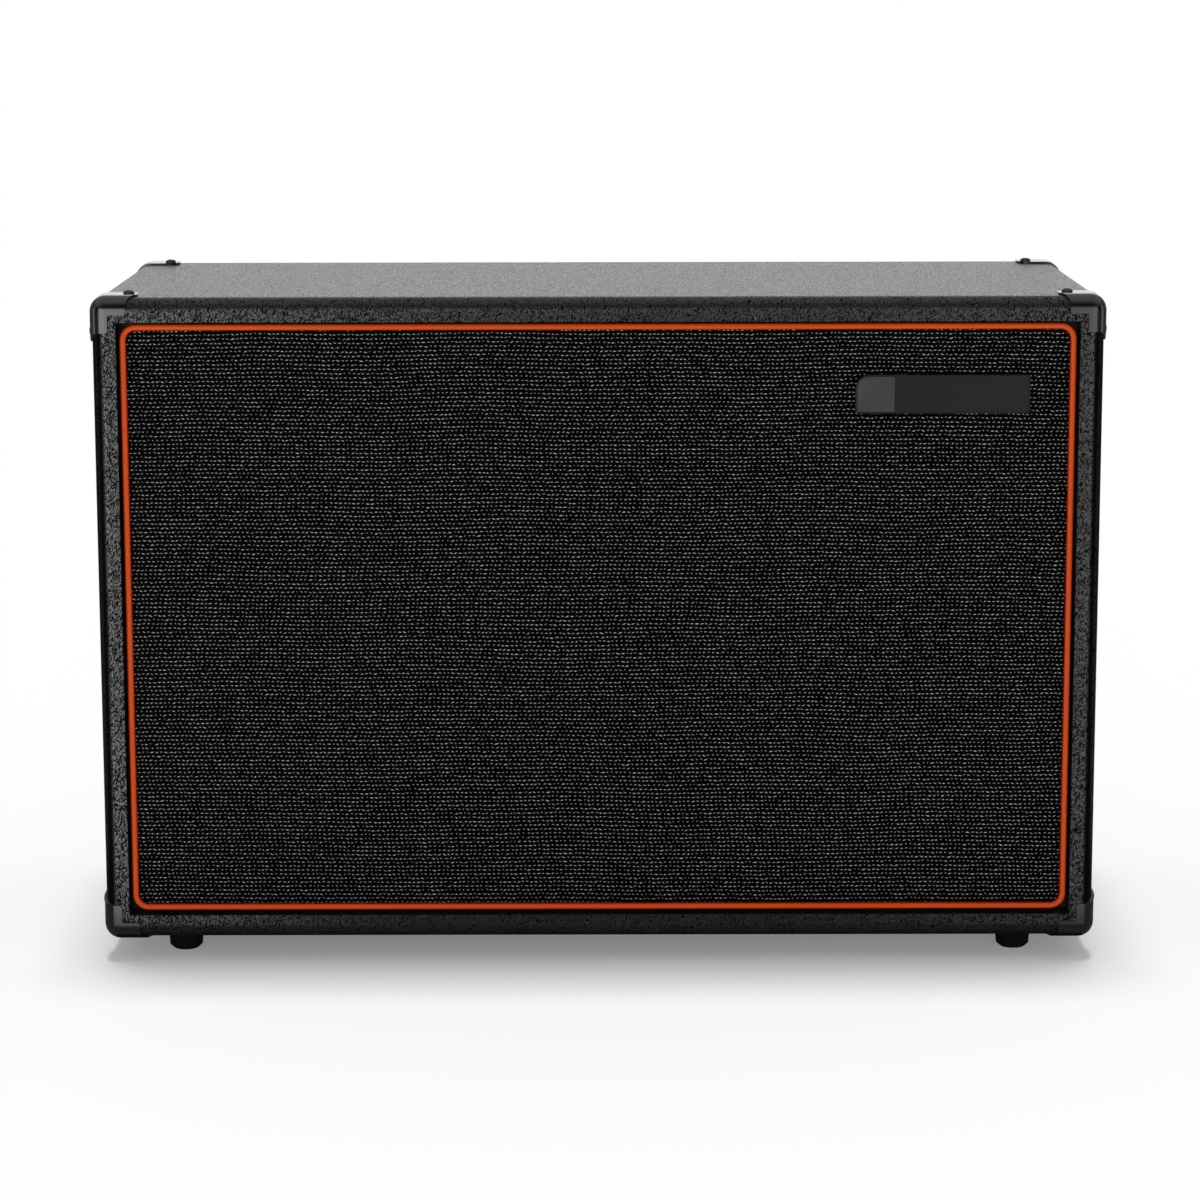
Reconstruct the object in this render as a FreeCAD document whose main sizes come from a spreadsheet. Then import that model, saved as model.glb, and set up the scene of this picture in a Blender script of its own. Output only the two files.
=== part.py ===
import FreeCAD, Part
import math
import os
from types import SimpleNamespace

import Sketcher
from FreeCAD import Placement, Rotation, Vector

# Guitar speaker cabinet for two 12-inch drivers, in millimetres. +Z is up, the grille faces -Y, and
# the origin lies on the floor under the middle of the box. Left and right are those of a person who
# faces the grille.

sizes = {
    # the box round the two drivers
    "driver_gap": 14.2,
    "side_margin": 26.9,
    "height_margin": 62.9,
    "rear_space": 116.5,
    "panel": 15.0,
    "covering": 1.2,
    "edge_radius": 10.0,
    "baffle": 15.0,
    "baffle_clearance": 0.5,
    "baffle_batten": 20.0,
    "rear_batten": 18.0,
    "rear_panel": 12.0,
    "rear_recess": 10.0,
    "rear_panel_clearance": 1.0,
    "rear_panel_round": 2.0,
    "upper_panel_height": 104.0,
    "lower_panel_height": 84.0,
    "cut_overrun": 5.0,
    # grille
    "cloth_recess": 8.0,
    "cloth": 0.8,
    "grille_board": 9.0,
    "grille_opening_clearance": 1.1,
    "grille_pad": 2.2,
    "grille_pad_length": 44.0,
    "grille_pad_width": 18.0,
    "grille_pad_inset": 9.0,
    "piping_radius": 2.5,
    "piping_tail": 1.0,
    "piping_corner": 9.5,
    "piping_side_gap": 2.0,
    "piping_top_gap": 1.2,
    "piping_bottom_gap": 2.8,
    "badge_length": 124.5,
    "badge_height": 28.0,
    "badge_thickness": 3.0,
    "badge_corner": 2.0,
    "badge_large_corner": 10.0,
    "badge_side_gap": 34.6,
    "badge_top_gap": 38.6,
    # corner protectors
    "corner_wall": 1.6,
    "corner_leaf": 32.0,
    "corner_leaf_cut": 14.0,
    "corner_leaf_round": 9.0,
    "corner_leg_across": 25.0,
    "corner_leg_down": 25.0,
    "corner_leg_width": 12.0,
    "corner_leg_round": 2.0,
    "corner_screw_along": 25.0,
    "corner_screw_back": 23.0,
    "corner_screw_head": 4.0,
    "corner_screw_rise": 2.4,
    "corner_screw_shank": 1.7,
    "corner_screw_length": 13.0,
    # feet
    "foot_height": 17.0,
    "foot_top_radius": 13.4,
    "foot_bottom_radius": 12.0,
    "foot_edge": 3.0,
    "foot_side_inset": 54.0,
    "foot_front_inset": 40.0,
    "foot_well_radius": 5.5,
    "foot_well_depth": 9.0,
    "foot_screw_head": 4.6,
    "foot_screw_rise": 3.0,
    "foot_screw_shank": 2.0,
    "foot_screw_length": 18.0,
    # recessed handles
    "handle_rise": 26.0,
    "cup_length": 152.0,
    "cup_height": 94.0,
    "cup_depth": 50.0,
    "cup_wall": 3.0,
    "cup_corner": 18.0,
    "cup_floor_round": 15.0,
    "cup_clearance": 0.8,
    "handle_flange": 15.0,
    "handle_flange_thickness": 2.6,
    "handle_flange_round": 1.2,
    "grip_height": 22.0,
    "grip_thickness": 16.0,
    "grip_round": 7.0,
    "grip_sink": 4.0,
    "handle_screw_head": 4.2,
    "handle_screw_rise": 1.8,
    "handle_screw_shank": 1.9,
    "handle_screw_length": 16.0,
    # screws of the rear panels and the jack dish
    "rear_screw_head": 5.0,
    "rear_screw_rise": 2.6,
    "rear_screw_shank": 2.0,
    "rear_screw_length": 24.0,
    # jack dish, sockets and mode switch
    "dish_length": 112.0,
    "dish_height": 62.0,
    "dish_depth": 17.0,
    "dish_wall": 2.5,
    "socket_plate": 1.5,
    "dish_corner": 12.0,
    "dish_flange": 13.0,
    "dish_clearance": 1.0,
    "dish_screw_inset": 7.5,
    "jack_spacing": 34.0,
    "jack_bore_radius": 3.25,
    "jack_bore_depth": 34.0,
    "jack_nose_radius": 5.4,
    "jack_nose_length": 6.5,
    "jack_nose_clearance": 0.2,
    "jack_body_width": 22.0,
    "jack_body_height": 20.0,
    "jack_body_length": 32.0,
    "jack_body_corner": 2.5,
    "jack_nut_radius": 8.2,
    "jack_nut_thickness": 2.6,
    "jack_tag_width": 3.4,
    "jack_tag_thickness": 0.8,
    "jack_tag_length": 7.0,
    "jack_tag_spacing": 6.0,
    "switch_width": 13.0,
    "switch_height": 20.0,
    "switch_depth": 14.0,
    "switch_corner": 1.5,
    "switch_bush_radius": 3.4,
    "switch_bush_length": 7.0,
    "switch_bush_clearance": 0.2,
    "switch_bore_radius": 2.4,
    "switch_pivot_depth": 3.0,
    "switch_nut_radius": 5.6,
    "switch_nut_thickness": 2.2,
    "lever_ball_radius": 2.1,
    "lever_neck_radius": 1.1,
    "lever_tip_radius": 2.3,
    "lever_neck_length": 5.0,
    "lever_length": 13.0,
    "lever_pin_radius": 0.7,
    "lever_pin_clearance": 0.3,
    # driver basket
    "driver_diameter": 309.8,
    "flange_width": 13.0,
    "flange_hole_radius": 3.95,
    "flange_hole_inset": 6.4,
    "basket_steel": 1.8,
    "basket_depth": 90.0,
    "basket_step": 10.0,
    "basket_step_slope": 2.0,
    "shoulder_width": 9.0,
    "shoulder_rise": 3.0,
    "bend_radius": 2.6,
    "spoke_width": 52.0,
    "window_margin": 3.0,
    "window_corner": 9.0,
    "collar_width": 18.0,
    "collar_tab_inset": 7.8,
    "collar_inset": 5.0,
    "rivet_hole_radius": 1.6,
    "rivet_head_radius": 2.7,
    "rivet_side": 13.0,
    "rivet_inset": 7.0,
    "basket_hole_radius": 46.0,
    # driver magnet
    "top_plate_radius": 72.0,
    "top_plate_thickness": 8.0,
    "magnet_overhang": 6.0,
    "magnet_thickness": 20.0,
    "magnet_hole_radius": 38.0,
    "magnet_chamfer": 2.0,
    "yoke_inset": 3.0,
    "yoke_thickness": 9.0,
    "yoke_chamfer": 1.2,
    "pole_radius": 21.5,
    "boss_radius": 18.5,
    "boss_height": 1.5,
    "dimple_radius": 4.0,
    "dimple_depth": 1.0,
    "label_thickness": 0.4,
    "label_margin": 10.0,
    "label_hole_gap": 1.5,
    # driver cone and suspension
    "coil_gap": 0.6,
    "former_wall": 0.35,
    "winding_wall": 0.55,
    "former_lip": 4.0,
    "winding_overhang": 1.5,
    "glue_gap": 0.3,
    "neck_depth": 60.0,
    "cone_wall": 1.1,
    "surround_width": 22.0,
    "edge_paper": 0.8,
    "roll_half_width": 4.0,
    "roll_height": 2.8,
    "roll_step": 9.2,
    "roll_inset": 5.3,
    "cap_radius": 40.0,
    "cap_height": 14.0,
    "cap_wall": 0.7,
    "spider_cloth": 0.8,
    "spider_radius": 55.0,
    "spider_foot": 8.0,
    "spider_stand": 12.0,
    "spider_roll_half_width": 3.2,
    "spider_roll_height": 2.0,
    "spider_step": 7.6,
    "gasket_thickness": 5.2,
    "gasket_inset": 1.0,
    # driver terminals and fixings
    "board_width": 36.0,
    "board_height": 27.0,
    "board_thickness": 1.6,
    "board_corner": 2.5,
    "board_gap": 3.0,
    "tag_thickness": 0.8,
    "tag_width": 5.0,
    "tag_length": 19.0,
    "tag_side_length": 14.0,
    "tag_spacing": 12.0,
    "tag_inset": 5.0,
    "tag_hole_radius": 1.2,
    "tag_hole_inset": 3.0,
    "eyelet_radius": 1.9,
    "bolt_head_radius": 7.0,
    "bolt_head_thickness": 1.8,
    "bolt_radius": 2.6,
    "bolt_spare": 9.0,
    "nut_radius": 5.2,
    "nut_thickness": 4.6,
}
finger_count = 11
roll_count = 2
spider_roll_count = 3
window_count = 4
hex_sides = 6
lever_tilt_degrees = 12.0
half_root_share = math.sqrt(0.5)
root_two_share = math.sqrt(2)
slant_share = 1.13
window_corner_share = 0.3
same_tolerance = 1e-6
screw_edge_share = 0.35
screw_crown_share = 0.6
crest_share = 0.35
cap_outline_shares = ((0.0, 1.0), (0.3, 0.95), (0.6, 0.7), (0.83, 0.35), (1.0, 0.0))

doc = FreeCAD.newDocument("speaker_cabinet")
sheet = doc.addObject("Spreadsheet::Sheet", "Sizes")
for row, (alias, number) in enumerate(sizes.items(), 1):
    sheet.set(f"A{row}", alias)
    sheet.set(f"B{row}", str(number))
    sheet.setAlias(f"B{row}", alias)
doc.recompute()


class Size:
    """A length, held as its number and as the sheet expression that gives it."""

    def __init__(self, text, value):
        self.text = text
        self.value = value

    def __add__(self, other):
        other = sized(other)
        return Size(f"({self.text} + {other.text})", self.value + other.value)

    def __sub__(self, other):
        other = sized(other)
        return Size(f"({self.text} - {other.text})", self.value - other.value)

    def __mul__(self, other):
        other = sized(other)
        return Size(f"({self.text} * {other.text})", self.value * other.value)

    def __truediv__(self, other):
        other = sized(other)
        return Size(f"({self.text} / {other.text})", self.value / other.value)

    def __neg__(self):
        return Size(f"(-{self.text})", -self.value)


def sized(number):
    if isinstance(number, Size):
        return number
    return Size(f"({number})" if number else "0", float(number))


def root(square):
    return Size(f"sqrt({square.text})", math.sqrt(square.value))


def least(first, second):
    return Size(f"min({first.text}; {second.text})", min(first.value, second.value))


d = SimpleNamespace(**{alias: Size(f"Sizes.{alias}", number) for alias, number in sizes.items()})
over = d.cut_overrun

# Across: the two drivers side by side, then the margin, the panel and its covering
driver_radius = d.driver_diameter / 2
driver_x = driver_radius + d.driver_gap / 2
ply_in_x = driver_x + driver_radius + d.side_margin
ply_x = ply_in_x + d.panel
half_width = ply_x + d.covering
lip_x = ply_in_x - d.covering

# Up: the feet, then the box with the drivers at mid height
height = d.driver_diameter + d.height_margin * 2 + (d.panel + d.covering) * 2
z_bottom = d.foot_height
z_top = z_bottom + height
z_mid = z_bottom + height / 2
ply_z0 = z_bottom + d.covering
ply_z1 = z_top - d.covering
in_z0 = ply_z0 + d.panel
in_z1 = ply_z1 - d.panel
lip_z0 = in_z0 + d.covering
lip_z1 = in_z1 - d.covering

# Front to rear: recess, cloth, grille board, pads, baffle, driver, air, rear panel, recess
magnet_stack = d.top_plate_thickness + d.magnet_thickness + d.yoke_thickness
driver_length = d.basket_depth + magnet_stack + d.boss_height
driver_seat = d.gasket_thickness + d.edge_paper
grille_stack = d.cloth_recess + d.cloth + d.grille_board + d.grille_pad
depth = grille_stack + d.baffle + driver_seat + driver_length + d.rear_space + d.rear_panel + d.rear_recess
y_front = -depth / 2
y_rear = depth / 2
ply_y0 = y_front + d.covering
ply_y1 = y_rear - d.covering
cloth_y = y_front + d.cloth_recess
board_y = cloth_y + d.cloth
pad_y = board_y + d.grille_board
baffle_y = pad_y + d.grille_pad
baffle_rear = baffle_y + d.baffle
flange_y = baffle_rear + driver_seat
rear_out_y = y_rear - d.rear_recess
rear_in_y = rear_out_y - d.rear_panel

sub_parts = []


def sub_part(thing, label):
    thing.Label = label
    sub_parts.append(thing)
    return thing


def bind(thing, **lengths):
    for name, length in lengths.items():
        thing.setExpression(name, sized(length).text)


def place(thing, x, y, z, rotation=None):
    spot = Vector(*(sized(length).value for length in (x, y, z)))
    thing.Placement = Placement(spot, rotation or Rotation())
    for axis, length in zip("xyz", (x, y, z)):
        thing.setExpression(f"Placement.Base.{axis}", sized(length).text)
    return thing


axis_turns = {
    "X": Rotation(Vector(0, 1, 0), 90),
    "Y": Rotation(Vector(1, 0, 0), -90),
    "Z": Rotation(),
}


def block(name, x, y, z):
    """A box between two values on each axis."""
    box = doc.addObject("Part::Box", name)
    bind(box, Length=x[1] - x[0], Width=y[1] - y[0], Height=z[1] - z[0])
    return place(box, x[0], y[0], z[0])


def rod(name, axis, radius, start, length):
    """A cylinder from a start point along an axis."""
    cylinder = doc.addObject("Part::Cylinder", name)
    bind(cylinder, Radius=radius, Height=length)
    return place(cylinder, *start, axis_turns[axis])


def hex_nut(name, radius, hole, start, thickness):
    """A six-sided nut whose rear face is set back along Y from its start point."""
    blank = doc.addObject("Part::Prism", name + "_blank")
    blank.Polygon = hex_sides
    bind(blank, Circumradius=radius, Height=thickness)
    place(blank, *start, axis_turns["Y"])
    x, y, z = start
    return cut(name, blank, rod(name + "_hole", "Y", hole, (x, y - over, z), thickness + over * 2))


def fuse(name, *pieces):
    whole = doc.addObject("Part::MultiFuse", name)
    whole.Shapes = list(pieces)
    return whole


def cut(name, base, *tools):
    rest = doc.addObject("Part::Cut", name)
    rest.Base = base
    rest.Tool = tools[0] if len(tools) == 1 else group(name + "_tools", *tools)
    return rest


def common(name, *pieces):
    shared = doc.addObject("Part::MultiCommon", name)
    shared.Shapes = list(pieces)
    return shared


def group(name, *pieces):
    whole = doc.addObject("Part::Compound", name)
    whole.Links = list(pieces)
    return whole


def mirror(name, source, axis, middle=0):
    """The source and its mirror image share the plane square to an axis at the middle value."""
    image = doc.addObject("Part::Mirroring", name)
    image.Source = source
    image.Normal = Vector(axis == "x", axis == "y", axis == "z")
    image.setExpression(f"Base.{axis}", sized(middle).text)
    return image


def sketch_on(body, name, role):
    sketch = body.newObject("Sketcher::SketchObject", name)
    plane = next(feature for feature in body.Origin.OriginFeatures if feature.Role == role)
    sketch.AttachmentSupport = [(plane, "")]
    sketch.MapMode = "FlatFace"
    return sketch


def outline(sketch, points):
    """A closed outline. A point is (x, y), or (x, y, centre x, centre y, turn) where an arc leads to it."""
    points = [tuple(sized(value) for value in point[:4]) + tuple(point[4:]) for point in points]
    ends = []
    for index, point in enumerate(points):
        start = Vector(points[index - 1][0].value, points[index - 1][1].value, 0)
        stop = Vector(point[0].value, point[1].value, 0)
        if len(point) == 2:
            edge = sketch.addGeometry(Part.LineSegment(start, stop))
            ends.append((edge, 1, 2))
            continue
        centre = Vector(point[2].value, point[3].value, 0)
        first, last = (start, stop) if point[4] > 0 else (stop, start)
        angles = [math.atan2(end.y - centre.y, end.x - centre.x) for end in (first, last)]
        if angles[1] <= angles[0]:
            angles[1] += 2 * math.pi
        circle = Part.Circle(centre, Vector(0, 0, 1), (start - centre).Length)
        edge = sketch.addGeometry(Part.ArcOfCircle(circle, *angles))
        ends.append((edge, 1, 2) if point[4] > 0 else (edge, 2, 1))
        chord = stop - start
        pin(sketch, edge, 3, point[2:4], "X" if abs(chord.y) > abs(chord.x) else "Y")
    for index, (edge, first, last) in enumerate(ends):
        following = ends[(index + 1) % len(ends)]
        sketch.addConstraint(Sketcher.Constraint("Coincident", edge, last, following[0], following[1]))
        pin(sketch, edge, last, points[index][:2], "XY")


def pin(sketch, edge, end, place_2d, axes):
    """Holds a point of the sketch at its place along the axes named."""
    for axis in axes:
        length = place_2d["XY".index(axis)]
        if length.text == "0":
            line = -2 if axis == "X" else -1
            sketch.addConstraint(Sketcher.Constraint("PointOnObject", edge, end, line))
            continue
        index = sketch.addConstraint(Sketcher.Constraint("Distance" + axis, edge, end, length.value))
        sketch.setExpression(f"Constraints[{index}]", length.text)


def rounded(u, v, radius):
    """The outline of a rectangle with rounded corners."""
    return [
        (u[1] - radius, v[0]),
        (u[1], v[0] + radius, u[1] - radius, v[0] + radius, 1),
        (u[1], v[1] - radius),
        (u[1] - radius, v[1], u[1] - radius, v[1] - radius, 1),
        (u[0] + radius, v[1]),
        (u[0], v[1] - radius, u[0] + radius, v[1] - radius, 1),
        (u[0], v[0] + radius),
        (u[0] + radius, v[0], u[0] + radius, v[0] + radius, 1),
    ]


def prism(name, plane, points, span):
    """A pad of an outline in a plane, between two values on the axis square to it."""
    body = doc.addObject("PartDesign::Body", name)
    sketch = sketch_on(body, name + "_outline", plane + "_Plane")
    outline(sketch, points)
    sketch.setExpression("AttachmentOffset.Base.z", (-span[1] if plane == "XZ" else sized(span[0])).text)
    pad = body.newObject("PartDesign::Pad", name + "_pad")
    pad.Profile = sketch
    bind(pad, Length=span[1] - span[0])
    return body


def turned(name, points, plane="XY"):
    """A revolved body: points are (radius, distance along the axis)."""
    body = doc.addObject("PartDesign::Body", name)
    sketch = sketch_on(body, name + "_profile", plane + "_Plane")
    outline(sketch, points)
    turn = body.newObject("PartDesign::Revolution", name + "_turn")
    turn.Profile = sketch
    turn.ReferenceAxis = (sketch, ["V_Axis"])
    turn.Angle = 360
    return body


def soften(body, radius, wanted=None):
    """Rounds the edges of a body that a test picks, or all of them."""
    doc.recompute()
    base = body.Tip
    edges = enumerate(base.Shape.Edges, 1)
    names = [f"Edge{index}" for index, edge in edges if wanted is None or wanted(edge)]
    fillet = body.newObject("PartDesign::Fillet", body.Name + "_round")
    fillet.Base = (base, names)
    bind(fillet, Radius=radius)
    return body


def same(first, second):
    return math.isclose(first, second, abs_tol=same_tolerance)


def along(edge, axis):
    """Whether an edge is straight and runs along an axis."""
    if not isinstance(edge.Curve, Part.Line):
        return False
    return same(abs(getattr(edge.Curve.Direction, axis)), 1)


def lies_at(axis, level):
    """A test for the edges whose middle lies at a level on an axis."""
    return lambda edge: same(getattr(edge.CenterOfMass, axis), level.value)


def rounded_block(name, x, y, z, radius):
    points = [(x[0], y[0]), (x[1], y[0]), (x[1], y[1]), (x[0], y[1])]
    return soften(prism(name, "XY", points, z), radius)


def screw(name, head, rise, shank, length):
    """A raised-head screw that stands on the origin and points down."""
    points = [
        (0, -length),
        (shank, -length),
        (shank, 0),
        (head, 0),
        (head, rise * screw_edge_share),
        (head * screw_crown_share, rise),
        (0, rise),
    ]
    return turned(name, points, "XZ")


def mirrored_pair(name, source, axis, middle=0):
    return group(name, source, mirror(name + "_image", source, axis, middle))


# Corner protectors: a thin shell over the box's corner, cut to three leaves, with a screw in two of them
def corner_protectors():
    wall = d.corner_wall
    shell = cut(
        "corner_shell",
        rounded_block(
            "corner_outer",
            (-half_width - wall, half_width + wall),
            (y_front - wall, y_rear + wall),
            (z_bottom - wall, z_top + wall),
            d.edge_radius + wall,
        ),
        rounded_block(
            "corner_inner", (-half_width, half_width), (y_front, y_rear), (z_bottom, z_top), d.edge_radius
        ),
    )
    side, front, top = half_width + over, y_front - over, z_top + over
    leaf, sweep, leaf_round = d.corner_leaf, d.corner_leaf_cut, d.corner_leaf_round
    across, down = d.corner_leg_across, d.corner_leg_down
    leg, leg_round = d.corner_leg_width, d.corner_leg_round
    leaf_x, leaf_y, leaf_z = half_width - leaf, y_front + leaf, z_top - leaf
    top_leaf = [
        (side, front),
        (side, leaf_y),
        (leaf_x + leaf_round, leaf_y),
        (leaf_x, leaf_y - leaf_round, leaf_x + leaf_round, leaf_y - leaf_round, 1),
        (leaf_x, y_front + sweep),
        (half_width - across, y_front),
        (half_width - across, front),
    ]
    side_leaf = [
        (front, top),
        (front, z_top - down),
        (y_front, z_top - down),
        (y_front + sweep, leaf_z),
        (leaf_y - leaf_round, leaf_z),
        (leaf_y, leaf_z + leaf_round, leaf_y - leaf_round, leaf_z + leaf_round, 1),
        (leaf_y, top),
    ]
    x_end, z_end = half_width - across, z_top - down
    x_leg, z_leg = half_width - leg, z_top - leg
    front_leaf = [
        (side, top),
        (x_end, top),
        (x_end, z_leg + leg_round),
        (x_end + leg_round, z_leg, x_end + leg_round, z_leg + leg_round, 1),
        (x_leg - leg_round, z_leg),
        (x_leg, z_leg - leg_round, x_leg - leg_round, z_leg - leg_round, -1),
        (x_leg, z_end + leg_round),
        (x_leg + leg_round, z_end, x_leg + leg_round, z_end + leg_round, 1),
        (side, z_end),
    ]
    leaves = fuse(
        "corner_leaves",
        prism("corner_top_leaf", "XY", top_leaf, (z_top - d.edge_radius, top)),
        prism("corner_side_leaf", "YZ", side_leaf, (half_width - d.edge_radius, side)),
        prism("corner_front_leaf", "XZ", front_leaf, (front, y_front + d.edge_radius)),
    )
    screws = []
    spots = (
        ("top", half_width - d.corner_screw_along, z_top + wall, Rotation()),
        ("side", half_width + wall, z_top - d.corner_screw_along, axis_turns["X"]),
    )
    for name, x, z, turn in spots:
        fastener = screw(
            f"corner_{name}_screw",
            d.corner_screw_head,
            d.corner_screw_rise,
            d.corner_screw_shank,
            d.corner_screw_length,
        )
        screws.append(place(fastener, x, y_front + d.corner_screw_back, z, turn))
    screws = group("corner_screw_pair", *screws)
    corner = cut("corner_protector", common("corner_skin", shell, leaves), screws)
    corners = {}
    for label, piece in (("corner_protectors", corner), ("corner_screws", screws)):
        ends = mirrored_pair(label + "_front", piece, "x")
        front_set = mirrored_pair(label + "_four", ends, "z", z_mid)
        corners[label] = sub_part(mirrored_pair(label, front_set, "y"), label)
    return corners["corner_screws"]


# Rubber feet, hollow underneath for the screw that holds each one
def rubber_feet():
    edge = d.foot_edge
    foot = turned(
        "foot",
        [
            (d.foot_well_radius, 0),
            (d.foot_bottom_radius - edge, 0),
            (d.foot_bottom_radius, edge),
            (d.foot_top_radius, d.foot_height),
            (d.foot_screw_shank, d.foot_height),
            (d.foot_screw_shank, d.foot_well_depth),
            (d.foot_well_radius, d.foot_well_depth),
        ],
        "XZ",
    )
    fastener = screw(
        "foot_screw", d.foot_screw_head, d.foot_screw_rise, d.foot_screw_shank, d.foot_screw_length
    )
    foot_x = half_width - d.foot_side_inset
    foot_y = y_front + d.foot_front_inset
    place(foot, foot_x, foot_y, 0)
    place(fastener, foot_x, foot_y, d.foot_well_depth, Rotation(Vector(1, 0, 0), 180))
    sets = {}
    for label, piece in (("rubber_feet", foot), ("foot_screws", fastener)):
        ends = mirrored_pair(label + "_front", piece, "x")
        sets[label] = sub_part(mirrored_pair(label, ends, "y"), label)
    return sets["foot_screws"]


# Recessed handles: a moulded dish let into each side, with a grip bar across its mouth
def handles():
    y, z = (-d.cup_length / 2, d.cup_length / 2), z_mid + d.handle_rise
    low, high = z - d.cup_height / 2, z + d.cup_height / 2
    wall, margin = d.cup_wall, d.handle_flange
    face, floor = half_width, half_width - d.cup_depth
    spread = (y[0] - margin, y[1] + margin)
    flange = prism(
        "handle_flange",
        "YZ",
        rounded(spread, (low - margin, high + margin), d.cup_corner + margin),
        (face, face + d.handle_flange_thickness),
    )
    soften(flange, d.handle_flange_round, lies_at("x", face + d.handle_flange_thickness))
    shell = prism("handle_shell", "YZ", rounded(y, (low, high), d.cup_corner), (floor, face))
    soften(shell, d.cup_floor_round, lies_at("x", floor))
    hollow = prism(
        "handle_hollow",
        "YZ",
        rounded((y[0] + wall, y[1] - wall), (low + wall, high - wall), d.cup_corner - wall),
        (floor + wall, face + over),
    )
    soften(hollow, d.cup_floor_round - wall, lies_at("x", floor + wall))
    grip_x = face - d.grip_sink
    grip = prism(
        "handle_grip",
        "XZ",
        rounded(
            (grip_x - d.grip_thickness, grip_x), (z - d.grip_height / 2, z + d.grip_height / 2), d.grip_round
        ),
        (y[0] + wall, y[1] - wall),
    )
    screws = screw(
        "handle_screw", d.handle_screw_head, d.handle_screw_rise, d.handle_screw_shank, d.handle_screw_length
    )
    place(
        screws,
        face + d.handle_flange_thickness,
        spread[1] - margin,
        high,
        axis_turns["X"],
    )
    screws = mirrored_pair("handle_screw_ends", screws, "y")
    screws = mirrored_pair("handle_screw_four", screws, "z", z)
    dish = cut("right_handle_dish", fuse("handle_moulding", flange, shell), hollow, screws)
    sub_part(dish, "right_handle_dish")
    sub_part(mirror("left_handle_dish", dish, "x"), "left_handle_dish")
    sub_part(mirrored_pair("handle_grips", grip, "x"), "handle_grips")
    all_screws = sub_part(mirrored_pair("handle_screws", screws, "x"), "handle_screws")
    gap = d.cup_clearance
    opening = prism(
        "handle_opening",
        "YZ",
        rounded((y[0] - gap, y[1] + gap), (low - gap, high + gap), d.cup_corner + gap),
        (ply_in_x - over, face + over),
    )
    return opening, all_screws


# The box: four plywood panels, finger jointed at the corners, under one vinyl covering
def box_panels(handle_opening, screws):
    blank = rounded_block(
        "carcass", (-ply_x, ply_x), (ply_y0, ply_y1), (ply_z0, ply_z1), d.edge_radius - d.covering
    )
    finger = (ply_y1 - ply_y0) / finger_count
    rows = [(ply_y0 + finger * index, ply_y0 + finger * (index + 1)) for index in range(finger_count)]
    end_notches = []
    side_notches = []
    full_height = (ply_z0 - over, ply_z1 + over)
    for index, row in enumerate(rows):
        if index % 2:
            end_notches.append(block("end_notch", (ply_in_x, ply_x + over), row, full_height))
        else:
            side_notches.append(block("side_notch", (ply_in_x, ply_x), row, (in_z1, ply_z1)))
    end_notches = mirrored_pair("end_notches", group("right_end_notches", *end_notches), "x")
    side_notches = mirrored_pair("side_notches", group("top_side_notches", *side_notches), "z", z_mid)
    deep = (ply_y0, ply_y1)
    slabs = {
        "top_panel": block("top_slab", (-ply_x, ply_x), deep, (in_z1, ply_z1)),
        "bottom_panel": block("bottom_slab", (-ply_x, ply_x), deep, (ply_z0, in_z0)),
    }
    for label, slab in slabs.items():
        jointed = cut(label + "_jointed", slab, end_notches)
        shaped = common(label + "_shaped", blank, jointed)
        sub_part(cut(label, shaped, screws["corners"], screws["feet"]), label)
    slab = block("side_slab", (ply_in_x, ply_x), deep, (ply_z0, ply_z1))
    jointed = cut("side_jointed", slab, side_notches)
    shaped = common("side_shaped", blank, jointed)
    right = cut("right_side_panel", shaped, handle_opening, screws["corners"], screws["handles"])
    sub_part(right, "right_side_panel")
    sub_part(mirror("left_side_panel", right, "x"), "left_side_panel")

    outer = rounded_block(
        "covering_outer", (-half_width, half_width), (y_front, y_rear), (z_bottom, z_top), d.edge_radius
    )
    through = (y_front - over, y_rear + over)
    skin = cut("covering_skin", outer, block("covering_mouth", (-lip_x, lip_x), through, (lip_z0, lip_z1)))
    core = cut("covering_core", blank, block("core_mouth", (-ply_in_x, ply_in_x), through, (in_z0, in_z1)))
    bare = block("bare_inside", (-ply_in_x, ply_in_x), (baffle_y, rear_in_y), (in_z0, in_z1))
    openings = mirrored_pair("covering_handle_openings", handle_opening, "x")
    covering = cut("vinyl_covering", skin, core, bare, openings, *screws.values())
    sub_part(covering, "vinyl_covering")


# Battens: four behind the baffle and four at the rear, glued round the inside
def battens():
    for label, thick, near in (
        ("baffle_battens", d.baffle_batten, baffle_rear),
        ("rear_battens", d.rear_batten, rear_in_y - d.rear_batten),
    ):
        y = (near, near + thick)
        top = block(label + "_top", (-ply_in_x, ply_in_x), y, (in_z1 - thick, in_z1))
        side = block(label + "_side", (ply_in_x - thick, ply_in_x), y, (in_z0 + thick, in_z1 - thick))
        pieces = group(
            label + "_set",
            mirrored_pair(label + "_across", top, "z", z_mid),
            mirrored_pair(label + "_upright", side, "x"),
        )
        yield label, pieces


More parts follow.
